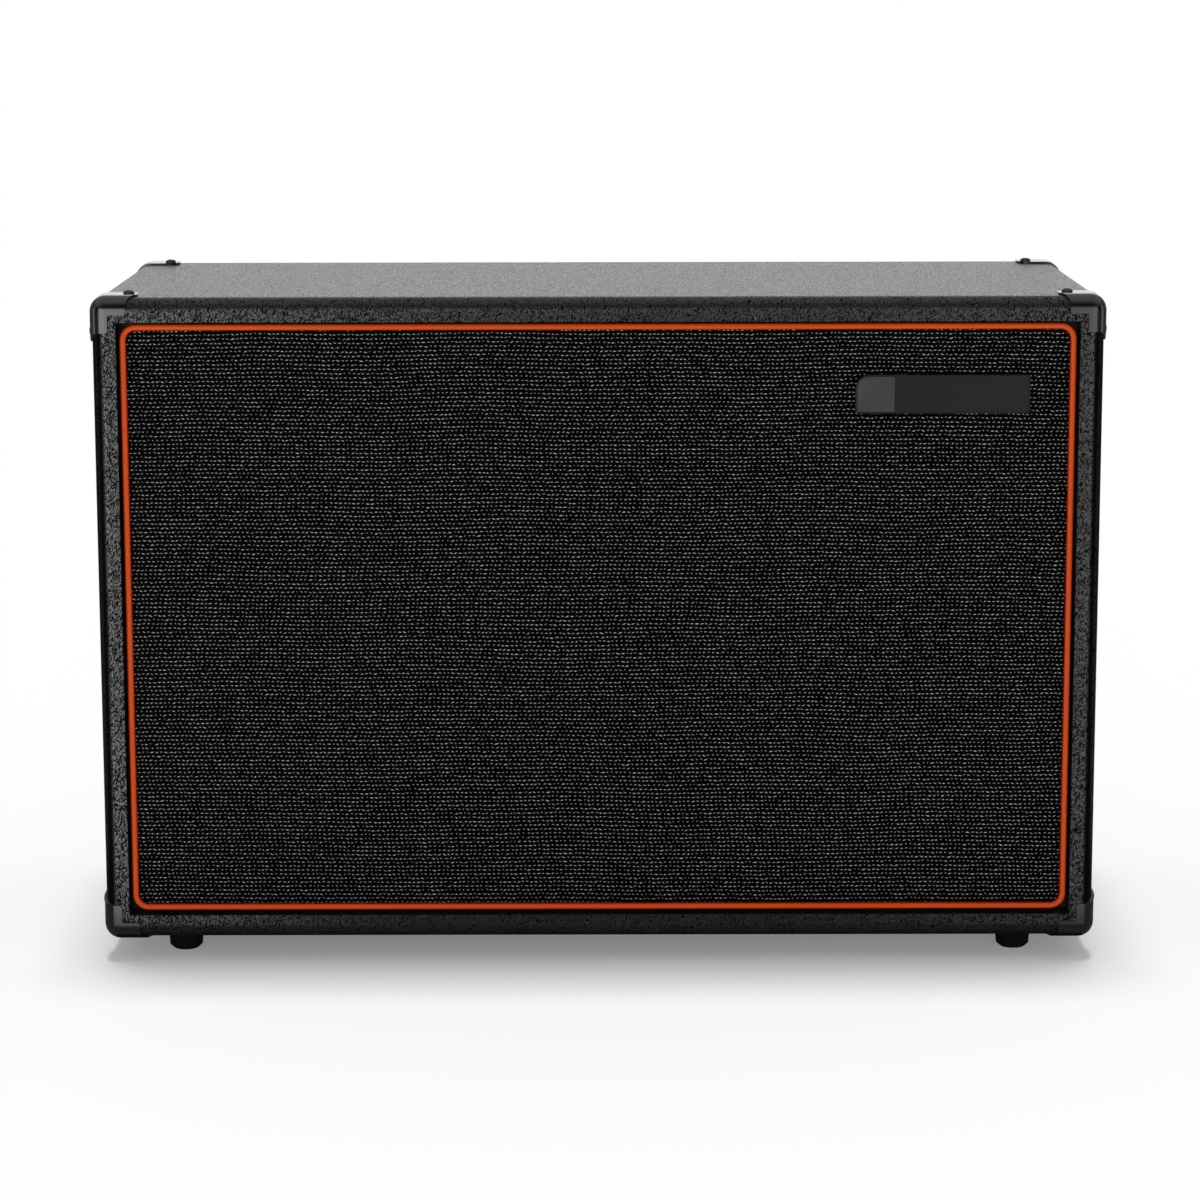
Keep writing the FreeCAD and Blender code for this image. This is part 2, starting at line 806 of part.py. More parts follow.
# Rear: two panels leave the middle open, the upper one holds the jack dish
def rear_panels(dish):
    gap = d.rear_panel_clearance
    x = lip_x - gap
    y = (rear_in_y, rear_out_y)
    upper = (lip_z1 - gap - d.upper_panel_height, lip_z1 - gap)
    lower = (lip_z0 + gap, lip_z0 + gap + d.lower_panel_height)
    inset = d.rear_batten / 2
    across = ply_in_x - inset
    rows = []
    edges = (
        ("upper", in_z1 - inset, upper[0] + inset),
        ("lower", in_z0 + inset, lower[1] - inset),
    )
    for name, z, end in edges:
        spots = [(across * share, z) for share in row_shares] + [(across, end)]
        for index, (spot_x, spot_z) in enumerate(spots):
            fastener = screw(
                f"{name}_rear_screw_{index}",
                d.rear_screw_head,
                d.rear_screw_rise,
                d.rear_screw_shank,
                d.rear_screw_length,
            )
            rows.append(place(fastener, spot_x, rear_out_y, spot_z, axis_turns["Y"]))
    panel_screws = mirrored_pair("panel_screws", group("right_panel_screws", *rows), "x")
    upper_slab = rounded_block("upper_slab", (-x, x), y, upper, d.rear_panel_round)
    lower_slab = rounded_block("lower_slab", (-x, x), y, lower, d.rear_panel_round)
    upper_panel = cut("upper_rear_panel", upper_slab, dish["opening"], panel_screws, dish["screws"])
    sub_part(upper_panel, "upper_rear_panel")
    sub_part(cut("lower_rear_panel", lower_slab, panel_screws), "lower_rear_panel")
    sub_part(group("rear_screws", panel_screws, dish["screws"]), "rear_screws")
    return panel_screws


row_shares = (0.32, 0.63, 0.94)
dish_z = lip_z1 - d.rear_panel_clearance - d.upper_panel_height / 2
dish_floor_y = rear_out_y - d.dish_depth
plate_front_y = dish_floor_y + d.socket_plate
switch_mouth_y = plate_front_y + d.switch_bush_length
jack_end_y = dish_floor_y - d.jack_body_length


# Jack dish: a moulded frame let into the upper rear panel, with a steel plate for a floor
def jack_dish():
    x, z = d.dish_length / 2, d.dish_height / 2
    wall, margin, gap = d.dish_wall, d.dish_flange, d.dish_clearance
    flange = prism(
        "dish_flange",
        "XZ",
        rounded((-x - margin, x + margin), (dish_z - z - margin, dish_z + z + margin), d.dish_corner),
        (rear_out_y, rear_out_y + wall),
    )
    outline = rounded((-x, x), (dish_z - z, dish_z + z), d.dish_corner)
    sides = prism("dish_sides", "XZ", outline, (plate_front_y, rear_out_y))
    hollow = prism(
        "dish_hollow",
        "XZ",
        rounded((-x + wall, x - wall), (dish_z - z + wall, dish_z + z - wall), d.dish_corner - wall),
        (plate_front_y - over, rear_out_y + wall + over),
    )
    fastener = screw(
        "dish_screw", d.rear_screw_head, d.rear_screw_rise, d.rear_screw_shank, d.rear_screw_length / 2
    )
    inset = d.dish_screw_inset
    place(fastener, x + margin - inset, rear_out_y + wall, dish_z + z + margin - inset, axis_turns["Y"])
    screws = mirrored_pair("dish_screws", mirrored_pair("dish_screw_ends", fastener, "x"), "z", dish_z)
    hole_y = dish_floor_y - over
    switch_hole_radius = d.switch_bush_radius + d.switch_bush_clearance
    switch_hole = rod("switch_hole", "Y", switch_hole_radius, (0, hole_y, dish_z), over * 2)
    jack_hole_radius = d.jack_nose_radius + d.jack_nose_clearance
    jack_hole = rod("jack_hole", "Y", jack_hole_radius, (d.jack_spacing, hole_y, dish_z), over * 2)
    jack_holes = mirrored_pair("jack_holes", jack_hole, "x")
    sub_part(cut("jack_dish", fuse("dish_moulding", flange, sides), hollow, screws), "jack_dish")
    plate = prism("socket_plate_blank", "XZ", outline, (dish_floor_y, plate_front_y))
    sub_part(cut("socket_plate", plate, switch_hole, jack_holes), "socket_plate")
    opening = prism(
        "dish_opening",
        "XZ",
        rounded((-x - gap, x + gap), (dish_z - z - gap, dish_z + z + gap), d.dish_corner + gap),
        (rear_in_y - over, rear_out_y + over),
    )
    return {"screws": screws, "opening": opening}


# Jack sockets: a moulded body behind the plate, a threaded nose through it, a nut and two solder tags
def jack_sockets():
    x = d.jack_spacing
    wide, tall = d.jack_body_width / 2, d.jack_body_height / 2
    nose_end = plate_front_y + d.jack_nose_length
    housing = prism(
        "jack_housing",
        "XZ",
        rounded((x - wide, x + wide), (dish_z - tall, dish_z + tall), d.jack_body_corner),
        (jack_end_y, dish_floor_y),
    )
    nose_length = nose_end - dish_floor_y
    nose = rod("jack_nose", "Y", d.jack_nose_radius, (x, dish_floor_y, dish_z), nose_length)
    bore_end = (x, nose_end - d.jack_bore_depth, dish_z)
    bore = rod("jack_bore", "Y", d.jack_bore_radius, bore_end, d.jack_bore_depth + over)
    tags = []
    for side in (-1, 1):
        middle = x + d.jack_tag_spacing * side
        tags.append(
            block(
                "jack_tag",
                (middle - d.jack_tag_width / 2, middle + d.jack_tag_width / 2),
                (jack_end_y - d.jack_tag_length, jack_end_y),
                (dish_z, dish_z + d.jack_tag_thickness),
            )
        )
    socket = cut("jack_socket", fuse("jack_moulding", housing, nose, *tags), bore)
    nut_spot = (x, plate_front_y, dish_z)
    nut = hex_nut("jack_nut", d.jack_nut_radius, d.jack_nose_radius, nut_spot, d.jack_nut_thickness)
    sub_part(group("right_jack", socket, nut), "right_jack")
    sub_part(mirror("left_jack", sub_parts[-1], "x"), "left_jack")


# Mode switch: a body behind the plate, a threaded bush with its nut, and a lever that rocks on a pin
def mode_switch():
    wide, tall = d.switch_width / 2, d.switch_height / 2
    housing = prism(
        "switch_housing",
        "XZ",
        rounded((-wide, wide), (dish_z - tall, dish_z + tall), d.switch_corner),
        (dish_floor_y - d.switch_depth, dish_floor_y),
    )
    bush_length = switch_mouth_y - dish_floor_y
    bush = rod("switch_bush", "Y", d.switch_bush_radius, (0, dish_floor_y, dish_z), bush_length)
    pivot_y = switch_mouth_y - d.switch_pivot_depth
    well = d.switch_pivot_depth + d.lever_ball_radius * 2
    bore = rod("switch_bore", "Y", d.switch_bore_radius, (0, switch_mouth_y - well, dish_z), well + over)
    nut_spot = (0, plate_front_y, dish_z)
    nut = hex_nut(
        "switch_nut", d.switch_nut_radius, d.switch_bush_radius, nut_spot, d.switch_nut_thickness
    )
    reach = d.switch_bush_radius
    pin_hole_radius = d.lever_pin_radius + d.lever_pin_clearance
    pin_hole = rod("pin_hole", "X", pin_hole_radius, (-reach - over, pivot_y, dish_z), (reach + over) * 2)
    body = cut("switch_body", fuse("switch_case", housing, bush), bore, pin_hole)
    sub_part(group("mode_switch", body, nut), "mode_switch")
    ball, neck, tip = d.lever_ball_radius, d.lever_neck_radius, d.lever_tip_radius
    ball_end = root(ball * ball - neck * neck)
    stem = turned(
        "lever_stem",
        [
            (0, -ball_end),
            (neck, -ball_end),
            (ball, 0),
            (neck, ball_end),
            (neck, d.lever_neck_length),
            (tip, d.lever_length - tip),
            (tip, d.lever_length - neck),
            (neck, d.lever_length),
            (0, d.lever_length),
        ],
    )
    place(stem, 0, pivot_y, dish_z, Rotation(Vector(1, 0, 0), lever_tilt_degrees))
    half = reach - d.lever_pin_clearance
    pivot = rod("lever_pin", "X", d.lever_pin_radius, (-half, pivot_y, dish_z), half * 2)
    sub_part(fuse("mode_switch_lever", stem, pivot), "mode_switch_lever")


# Baffle, grille board, cloth, piping, pads and badge
def front(driver_bolts):
    gap = d.baffle_clearance
    across = ply_in_x - gap
    slab = block("baffle_slab", (-across, across), (baffle_y, baffle_rear), (in_z0 + gap, in_z1 - gap))
    cutout_start = (driver_x, baffle_y - over, z_mid)
    cutout = rod("baffle_cutout", "Y", rim, cutout_start, d.baffle + over * 2)
    cutouts = mirrored_pair("baffle_cutouts", cutout, "x")
    sub_part(cut("baffle_board", slab, cutouts, driver_bolts), "baffle_board")

    cord_x = lip_x - d.piping_side_gap - d.piping_radius
    cord_z = (
        lip_z0 + d.piping_bottom_gap + d.piping_radius,
        lip_z1 - d.piping_top_gap - d.piping_radius,
    )
    tail = d.piping_tail / 2
    edge_x = (-cord_x + tail, cord_x - tail)
    edge_z = (cord_z[0] + tail, cord_z[1] - tail)
    edge_corner = d.piping_corner - tail
    sheet_outline = rounded(edge_x, edge_z, edge_corner)
    board = prism("grille_blank", "XZ", sheet_outline, (board_y, pad_y))
    opening_start = (driver_x, board_y - over, z_mid)
    opening_radius = rim + d.grille_opening_clearance
    opening = rod("grille_opening", "Y", opening_radius, opening_start, d.grille_board + over * 2)
    openings = mirrored_pair("grille_openings", opening, "x")
    sub_part(cut("grille_board", board, openings), "grille_board")
    sub_part(prism("grille_cloth", "XZ", sheet_outline, (cloth_y, board_y)), "grille_cloth")
    piping(cord_x, cord_z)

    pad_top = edge_z[1] - d.grille_pad_inset
    pad_z = (pad_top - d.grille_pad_width, pad_top)
    half = d.grille_pad_length / 2
    pads = []
    for share in pad_shares:
        middle = edge_x[1] * share
        pads.append(block("pad", (middle - half, middle + half), (pad_y, baffle_y), pad_z))
    row = mirrored_pair("pad_row", group("right_pads", *pads), "x")
    sub_part(mirrored_pair("grille_pads", row, "z", (edge_z[0] + edge_z[1]) / 2), "grille_pads")

    right, top = lip_x - d.badge_side_gap, lip_z1 - d.badge_top_gap
    left, low = right - d.badge_length, top - d.badge_height
    small, large = d.badge_corner, d.badge_large_corner
    points = rounded((left, right), (low, top), small)
    points[4] = (left + large, top)
    points[5] = (left, top - large, left + large, top - large, 1)
    sub_part(prism("badge_plate", "XZ", points, (cloth_y - d.badge_thickness, cloth_y)), "badge_plate")


pad_shares = (0.42, 0.86)


# Piping: a round cord along the edge of the cloth, with a flat tail down the edge of the board
def piping(cord_x, cord_z):
    radius, corner = d.piping_radius, d.piping_corner
    cord_y = cloth_y - radius
    run_x = cord_x - corner
    run_z = (cord_z[0] + corner, cord_z[1] - corner)
    top = rod("piping_top", "X", radius, (-run_x, cord_y, cord_z[1]), run_x * 2)
    bottom = rod("piping_bottom", "X", radius, (-run_x, cord_y, cord_z[0]), run_x * 2)
    side = rod("piping_side", "Z", radius, (cord_x, cord_y, run_z[0]), run_z[1] - run_z[0])
    pieces = [top, bottom, mirrored_pair("piping_sides", side, "x")]
    for name, z, turn in (("high", run_z[1], 0), ("low", run_z[0], 90)):
        bend = doc.addObject("Part::Torus", f"piping_{name}_bend")
        bend.Angle3 = 90
        bind(bend, Radius1=corner, Radius2=radius)
        spin = Rotation(Vector(0, 1, 0), turn).multiply(Rotation(Vector(1, 0, 0), 90))
        place(bend, run_x, cord_y, z, spin)
        pieces.append(mirrored_pair(f"piping_{name}_bends", bend, "x"))
    tail = d.piping_tail / 2
    span = (cord_y, pad_y)
    outer = prism(
        "piping_tail_outer",
        "XZ",
        rounded((-cord_x - tail, cord_x + tail), (cord_z[0] - tail, cord_z[1] + tail), corner + tail),
        span,
    )
    inner = prism(
        "piping_tail_inner",
        "XZ",
        rounded((-cord_x + tail, cord_x - tail), (cord_z[0] + tail, cord_z[1] - tail), corner - tail),
        span,
    )
    sub_part(fuse("grille_piping", cut("piping_tail", outer, inner), *pieces), "grille_piping")


# Driver: every profile is (radius, depth behind the front of the flange)
hole_circle = driver_radius - d.flange_hole_inset
hole_offset = hole_circle * half_root_share
rim = driver_radius - d.flange_width
step_in = rim - d.basket_step_slope
shoulder_in = step_in - d.shoulder_width
shoulder_depth = d.basket_step + d.shoulder_rise
collar = d.top_plate_radius + d.collar_width
magnet_radius = d.top_plate_radius + d.magnet_overhang
yoke_radius = magnet_radius - d.yoke_inset
collar_y = flange_y + d.basket_depth
rivet_z = z_mid + collar - d.rivet_inset
plate_rear = d.basket_depth + d.top_plate_thickness
magnet_rear = plate_rear + d.magnet_thickness
yoke_rear = magnet_rear + d.yoke_thickness
former_in = d.pole_radius + d.coil_gap
former_out = former_in + d.former_wall
winding_out = former_out + d.winding_wall
plate_hole = winding_out + d.coil_gap
neck = former_out + d.glue_gap
cone_edge = rim - d.basket_steel - d.surround_width


def at_driver(thing, rotation=None):
    return place(thing, driver_x, flange_y, z_mid, rotation)


def both_sides(thing, name):
    sub_part(thing, "right_" + name)
    sub_part(mirror("left_" + name, thing, "x"), "left_" + name)


def ring(name, inner, outer, near, far):
    return at_driver(turned(name, [(inner, near), (outer, near), (outer, far), (inner, far)]))


def four_corners(name, right_piece):
    """A piece at one mounting hole of the right driver, repeated at its other three."""
    ends = mirrored_pair(name + "_ends", right_piece, "x", driver_x)
    return mirrored_pair(name + "_four", ends, "z", z_mid)


# The pressed basket: flange, step, shoulder, four windows between broad spokes, and the flat collar
def basket():
    steel, slant = d.basket_steel, d.basket_steel * slant_share
    pressing = turned(
        "basket_pressing",
        [
            (driver_radius, 0),
            (driver_radius, steel),
            (rim, steel),
            (step_in, d.basket_step),
            (shoulder_in, shoulder_depth),
            (collar, d.basket_depth),
            (d.basket_hole_radius, d.basket_depth),
            (d.basket_hole_radius, d.basket_depth - steel),
            (collar - slant, d.basket_depth - steel),
            (shoulder_in - slant, shoulder_depth - steel),
            (step_in - slant, d.basket_step - steel),
            (rim - steel, 0),
        ],
    )
    bends = (step_in, shoulder_in, collar)

    def is_bend(edge):
        if not isinstance(edge.Curve, Part.Circle):
            return False
        return any(same(edge.Curve.Radius, bend.value) for bend in bends)

    soften(pressing, d.bend_radius, is_bend)
    at_driver(pressing)
    tools = []
    for index in range(window_count):
        window = basket_window(f"basket_window_{index}")
        tools.append(at_driver(window, Rotation(Vector(0, 1, 0), 90 * index)))
    hole_start = (driver_x + hole_offset, flange_y - over, z_mid + hole_offset)
    hole = rod("flange_hole", "Y", d.flange_hole_radius, hole_start, over * 2)
    tools.append(four_corners("flange_holes", hole))
    rivet_start = (driver_x + d.rivet_side, collar_y - over, rivet_z)
    rivet = rod("rivet_hole", "Y", d.rivet_hole_radius, rivet_start, over * 2)
    tools.append(four_corners("rivet_holes", rivet))
    both_sides(cut("right_basket", pressing, *tools), "basket")


def basket_window(name):
    outer = shoulder_in - d.window_margin
    inner = collar - d.collar_inset
    spoke = d.spoke_width * root_two_share / 2
    outer_x = (root(outer * outer * 2 - spoke * spoke) - spoke) / 2
    inner_x = (root(inner * inner * 2 - spoke * spoke) - spoke) / 2
    tab = inner_x - d.collar_tab_inset
    tab_z = root(collar * collar - tab * tab)
    points = [
        (outer_x, outer_x + spoke),
        (-outer_x, outer_x + spoke, 0, 0, 1),
        (-inner_x, inner_x + spoke),
        (-tab, tab_z),
        (tab, tab_z, 0, 0, -1),
        (inner_x, inner_x + spoke),
    ]
    window = prism(name, "XZ", points, (0, d.basket_depth + over))
    corners = (outer_x.value, inner_x.value)

    def is_corner(edge):
        return along(edge, "y") and any(same(abs(edge.CenterOfMass.x), x) for x in corners)

    return soften(window, least(d.window_corner, (outer - inner) * window_corner_share), is_corner)


def magnet_system():
    both_sides(
        ring("right_top_plate", plate_hole, d.top_plate_radius, d.basket_depth, plate_rear), "top_plate"
    )
    bevel = d.magnet_chamfer
    magnet = turned(
        "right_magnet",
        [
            (d.magnet_hole_radius, plate_rear),
            (magnet_radius - bevel, plate_rear),
            (magnet_radius, plate_rear + bevel),
            (magnet_radius, magnet_rear - bevel),
            (magnet_radius - bevel, magnet_rear),
            (d.magnet_hole_radius, magnet_rear),
        ],
    )
    both_sides(at_driver(magnet), "magnet")
    edge = d.yoke_chamfer
    boss_rear = yoke_rear + d.boss_height
    yoke = turned(
        "right_yoke",
        [
            (0, d.basket_depth),
            (d.pole_radius, d.basket_depth),
            (d.pole_radius, magnet_rear),
            (yoke_radius, magnet_rear),
            (yoke_radius, yoke_rear - edge),
            (yoke_radius - edge, yoke_rear),
            (d.boss_radius, yoke_rear),
            (d.boss_radius, boss_rear),
            (d.dimple_radius, boss_rear),
            (0, boss_rear - d.dimple_depth),
        ],
    )
    both_sides(at_driver(yoke), "yoke")
    label = ring(
        "magnet_label",
        d.boss_radius + d.label_hole_gap,
        yoke_radius - d.label_margin,
        yoke_rear,
        yoke_rear + d.label_thickness,
    )
    sub_part(mirrored_pair("magnet_labels", label, "x"), "magnet_labels")


def corrugated(start, stop, level, half_width, rise, first, step, count):
    """The front face of a thin strip whose rolls bulge forwards and backwards in turn."""
    points = [(start, level)]
    for index in range(count):
        middle = first + step * index
        crest = half_width * crest_share
        bulge = level + rise if index % 2 else level - rise
        points += [(middle - half_width, level), (middle - crest, bulge)]
        points += [(middle + crest, bulge), (middle + half_width, level)]
    return points + [(stop, level)]


def strip(points, thickness):
    """The closed outline of a strip, its rear face set back by the thickness."""
    return points + [(across, along_axis + thickness) for across, along_axis in reversed(points)]


# Cone, corrugated surround, dust cap, spider and voice coil
def suspension():
    inner = cone_edge + d.glue_gap
    edge = corrugated(
        inner, driver_radius - d.gasket_inset, -d.edge_paper, d.roll_half_width, d.roll_height,
        inner + d.roll_inset, d.roll_step, roll_count,
    )
    hole_start = (driver_x + hole_offset, flange_y - over, z_mid + hole_offset)
    hole = rod("surround_hole", "Y", d.flange_hole_radius, hole_start, over * 2)
    holes = four_corners("surround_holes", hole)
    surround = at_driver(turned("surround_strip", strip(edge, d.edge_paper)))
    both_sides(cut("right_surround", surround, holes), "surround")

    flare = [(neck, d.neck_depth - d.cone_wall), (cone_edge, -d.cone_wall)]
    both_sides(at_driver(turned("right_cone", strip(flare, d.cone_wall))), "cone")

    slope = d.neck_depth / (cone_edge - neck)
    seat = slope * (cone_edge - d.cap_radius) - d.cone_wall - d.cap_wall - d.glue_gap
    dome = [(d.cap_radius * across, seat - d.cap_height * rise) for across, rise in cap_outline_shares]
    cap = turned("right_dust_cap", strip(dome, d.cap_wall))
    both_sides(at_driver(cap), "dust_cap")

    floor = d.basket_depth - d.basket_steel
    cloth = d.spider_cloth
    level = floor - d.spider_stand
    inner = former_out + d.glue_gap
    face = corrugated(
        inner, d.spider_radius, level, d.spider_roll_half_width, d.spider_roll_height,
        inner + d.spider_step, d.spider_step, spider_roll_count,
    )
    rear = [(across, along_axis + cloth) for across, along_axis in reversed(face[:-1])]
    foot = [
        (d.spider_radius, floor - cloth),
        (d.spider_radius + d.spider_foot, floor - cloth),
        (d.spider_radius + d.spider_foot, floor),
        (d.spider_radius - cloth, floor),
        (d.spider_radius - cloth, level + cloth),
    ]
    both_sides(at_driver(turned("right_spider", face + foot + rear)), "spider")

    front_end = d.neck_depth - d.former_lip
    winding = (d.basket_depth - d.winding_overhang, plate_rear + d.winding_overhang)
    coil = turned(
        "right_voice_coil",
        [
            (former_in, front_end),
            (former_out, front_end),
            (former_out, winding[0]),
            (winding_out, winding[0]),
            (winding_out, winding[1]),
            (former_in, winding[1]),
        ],
    )
    both_sides(at_driver(coil), "voice_coil")


# Gaskets in front of the flanges, and the bolts and nuts that hold the drivers to the baffle
def fixings():
    spot = (driver_x + hole_offset, z_mid + hole_offset)
    shank_end = flange_y + d.basket_steel + d.bolt_spare
    head_y = baffle_y - d.bolt_head_thickness
    bolt = fuse(
        "driver_bolt",
        rod("bolt_head", "Y", d.bolt_head_radius, (spot[0], head_y, spot[1]), d.bolt_head_thickness),
        rod("bolt_shank", "Y", d.bolt_radius, (spot[0], baffle_y, spot[1]), shank_end - baffle_y),
    )
    nut_spot = (spot[0], flange_y + d.basket_steel, spot[1])
    nut = hex_nut("driver_nut", d.nut_radius, d.bolt_radius, nut_spot, d.nut_thickness)
    bolts = mirrored_pair("driver_bolts", four_corners("bolt", bolt), "x")
    sub_part(bolts, "driver_bolts")
    sub_part(mirrored_pair("driver_nuts", four_corners("nut", nut), "x"), "driver_nuts")
    washer = ring("gasket_ring", rim, driver_radius - d.gasket_inset, -driver_seat, -d.edge_paper)
    gasket = cut("gasket", washer, four_corners("gasket_bolt", bolt))
    sub_part(mirrored_pair("driver_gaskets", gasket, "x"), "driver_gaskets")
    return bolts


board_rear = collar_y + d.board_thickness
board_low = z_mid + d.top_plate_radius + d.board_gap
board_high = board_low + d.board_height
tag_z = board_high - d.tag_inset
tag_tip = tag_z + d.tag_length - d.tag_width / 2


# Terminal board riveted to the collar, with a soldering tag at each end
def terminals():
    half = d.board_width / 2
    blank = prism(
        "board_blank",
        "XZ",
        rounded((driver_x - half, driver_x + half), (board_low, board_high), d.board_corner),
        (collar_y, board_rear),
    )
    wide = d.tag_width / 2
    y = (board_rear, board_rear + d.tag_thickness)
    eyelet_y = collar_y - d.tag_thickness
    eyelet_length = d.board_thickness + d.tag_thickness * 3
    hole_z = tag_tip - d.tag_hole_inset
    hardware = []
    for side in (-1, 1):
        middle = driver_x + d.tag_spacing * side
        upright = block("tag_upright", (middle - wide, middle + wide), y, (tag_z - wide, tag_tip))
        reach = (middle, middle + d.tag_side_length)
        if side < 0:
            reach = (middle - d.tag_side_length, middle)
        level = block("tag_level", reach, y, (tag_z - wide, tag_z + wide))
        eyelet = rod("tag_eyelet", "Y", d.eyelet_radius, (middle, eyelet_y, tag_z), eyelet_length)
        hole = rod("tag_hole", "Y", d.tag_hole_radius, (middle, board_rear - over, hole_z), over * 2)
        hardware.append(cut("terminal_tag", fuse("tag_blank", upright, level, eyelet), hole))
        rivet_x = driver_x + d.rivet_side * side
        shank_start = (rivet_x, collar_y - d.basket_steel, rivet_z)
        shank_length = d.basket_steel + d.board_thickness
        shank = rod("rivet_shank", "Y", d.rivet_hole_radius, shank_start, shank_length)
        head = rod("rivet_head", "Y", d.rivet_head_radius, (rivet_x, board_rear, rivet_z), d.tag_thickness)
        hardware.append(fuse("board_rivet", shank, head))
    hardware = group("right_terminal_hardware", *hardware)
    board = cut("terminal_board", blank, hardware)
    sub_part(mirrored_pair("terminal_boards", board, "x"), "terminal_boards")
    sub_part(mirrored_pair("terminal_tags", hardware, "x"), "terminal_tags")


screws = {"corners": corner_protectors(), "feet": rubber_feet()}
handle_opening, screws["handles"] = handles()
box_panels(handle_opening, screws)
dish = jack_dish()
panel_screws = rear_panels(dish)
for label, pieces in battens():
    sub_part(cut(label, pieces, panel_screws) if label == "rear_battens" else pieces, label)
jack_sockets()
mode_switch()
front(fixings())
basket()
magnet_system()
suspension()
terminals()
doc.recompute()

failed = [thing.Name for thing in doc.Objects if {"Invalid", "Error"} & set(thing.State)]
empty = [thing.Label for thing in sub_parts if thing.Shape.isNull() or not thing.Shape.isValid()]
if failed or empty:
    raise RuntimeError(f"failed: {failed}, empty or invalid: {empty}")
os.makedirs("parts", exist_ok=True)
for thing in sub_parts:
    thing.Shape.exportStep(f"parts/{thing.Label}.step")
overall = [round(length.value, 1) for length in (half_width * 2, depth, z_top)]
print(len(sub_parts), "sub-parts, box with feet", overall)
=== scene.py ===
import math
import bmesh
import bpy
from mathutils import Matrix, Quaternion, Vector


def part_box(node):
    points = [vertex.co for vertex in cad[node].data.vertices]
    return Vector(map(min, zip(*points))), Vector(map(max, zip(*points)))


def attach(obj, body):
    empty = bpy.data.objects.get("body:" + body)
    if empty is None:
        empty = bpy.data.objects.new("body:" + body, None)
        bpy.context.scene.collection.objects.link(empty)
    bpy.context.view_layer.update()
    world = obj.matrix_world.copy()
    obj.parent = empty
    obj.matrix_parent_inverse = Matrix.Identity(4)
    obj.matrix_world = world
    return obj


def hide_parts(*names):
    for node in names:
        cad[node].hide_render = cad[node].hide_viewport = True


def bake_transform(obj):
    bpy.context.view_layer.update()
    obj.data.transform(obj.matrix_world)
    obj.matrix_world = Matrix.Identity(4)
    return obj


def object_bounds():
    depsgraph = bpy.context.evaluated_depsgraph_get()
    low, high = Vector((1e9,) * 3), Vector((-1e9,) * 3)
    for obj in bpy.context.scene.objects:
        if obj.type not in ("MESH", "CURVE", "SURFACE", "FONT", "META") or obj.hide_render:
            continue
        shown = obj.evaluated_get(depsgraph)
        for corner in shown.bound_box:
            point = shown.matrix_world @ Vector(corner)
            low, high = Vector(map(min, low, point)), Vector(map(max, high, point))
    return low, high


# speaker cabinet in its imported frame: metres, +Z up, grille towards -Y
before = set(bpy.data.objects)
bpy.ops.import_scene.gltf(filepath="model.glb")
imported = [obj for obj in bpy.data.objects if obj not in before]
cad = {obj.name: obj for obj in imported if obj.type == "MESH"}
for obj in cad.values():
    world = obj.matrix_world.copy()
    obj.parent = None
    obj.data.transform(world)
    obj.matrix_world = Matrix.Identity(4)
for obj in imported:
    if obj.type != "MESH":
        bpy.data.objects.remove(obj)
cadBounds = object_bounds()
print("frame loaded:", len(cad), "nodes")

usualShine = 0.5  # the shader's own specular level
noiseMiddle = 0.5  # noise textures swing about this value
softRelief = 0.6  # strength of the finer bumps


# shader helpers, each works on the nodes of one finish or of the world
def shaderOf(finish):
    return finish.node_tree.nodes["Principled BSDF"]


def newFinish(name, color, roughness, metallic=0.0, shine=usualShine):
    finish = bpy.data.materials.new(name)
    finish.use_nodes = True
    shader = shaderOf(finish)
    shader.inputs["Base Color"].default_value = (*color, 1)
    shader.inputs["Roughness"].default_value = roughness
    shader.inputs["Metallic"].default_value = metallic
    shader.inputs["Specular IOR Level"].default_value = shine
    finish.diffuse_color = (*color, 1)
    return finish


def plug(finish, source, socket):
    if isinstance(source, bpy.types.NodeSocket):
        finish.node_tree.links.new(source, socket)
    else:
        socket.default_value = source


def addNode(finish, kind, inputs, **settings):
    made = finish.node_tree.nodes.new("ShaderNode" + kind)
    for name, value in settings.items():
        setattr(made, name, value)
    for socket, source in inputs.items():
        plug(finish, source, made.inputs[socket])
    return made


def calc(finish, operation, *values):
    inputs = dict(enumerate(values))
    return addNode(finish, "Math", inputs, operation=operation).outputs[0]


def product(finish, first, second):
    return calc(finish, "MULTIPLY", first, second)


def minus(finish, first, second):
    return calc(finish, "SUBTRACT", first, second)


def magnitude(finish, value):
    return calc(finish, "ABSOLUTE", value)


def greatest(finish, first, *others):
    for other in others:
        first = calc(finish, "MAXIMUM", first, other)
    return first


def fromTo(finish, share, low, high):  # low at 0, high at 1
    return calc(finish, "MULTIPLY_ADD", share, high - low, low)


def between(finish, value, low, high):  # 0 at low, 1 at high, eased
    inputs = {"Value": value, "From Min": low, "From Max": high}
    made = addNode(finish, "MapRange", inputs, interpolation_type="SMOOTHSTEP")
    return made.outputs["Result"]


def vectorCalc(finish, operation, first, second):
    return addNode(finish, "VectorMath", {0: first, 1: second}, operation=operation).outputs[0]


def mixColor(finish, factor, first, second):
    ends = [(*end, 1) if isinstance(end, tuple) else end for end in (first, second)]
    made = addNode(finish, "Mix", {0: factor, 6: ends[0], 7: ends[1]}, data_type="RGBA")
    return made.outputs[2]


def objectPlace(finish, scale=(1, 1, 1)):
    place = addNode(finish, "TexCoord", {}).outputs["Object"]
    return addNode(finish, "Mapping", {"Vector": place, "Scale": scale}).outputs["Vector"]


def axisValues(finish):
    place = addNode(finish, "TexCoord", {}).outputs["Object"]
    return addNode(finish, "SeparateXYZ", {0: place}).outputs


def facing(finish, axis, kind="Normal"):  # how far the surface looks along one axis
    normal = addNode(finish, "NewGeometry", {}).outputs[kind]
    return addNode(finish, "SeparateXYZ", {0: normal}).outputs[axis]


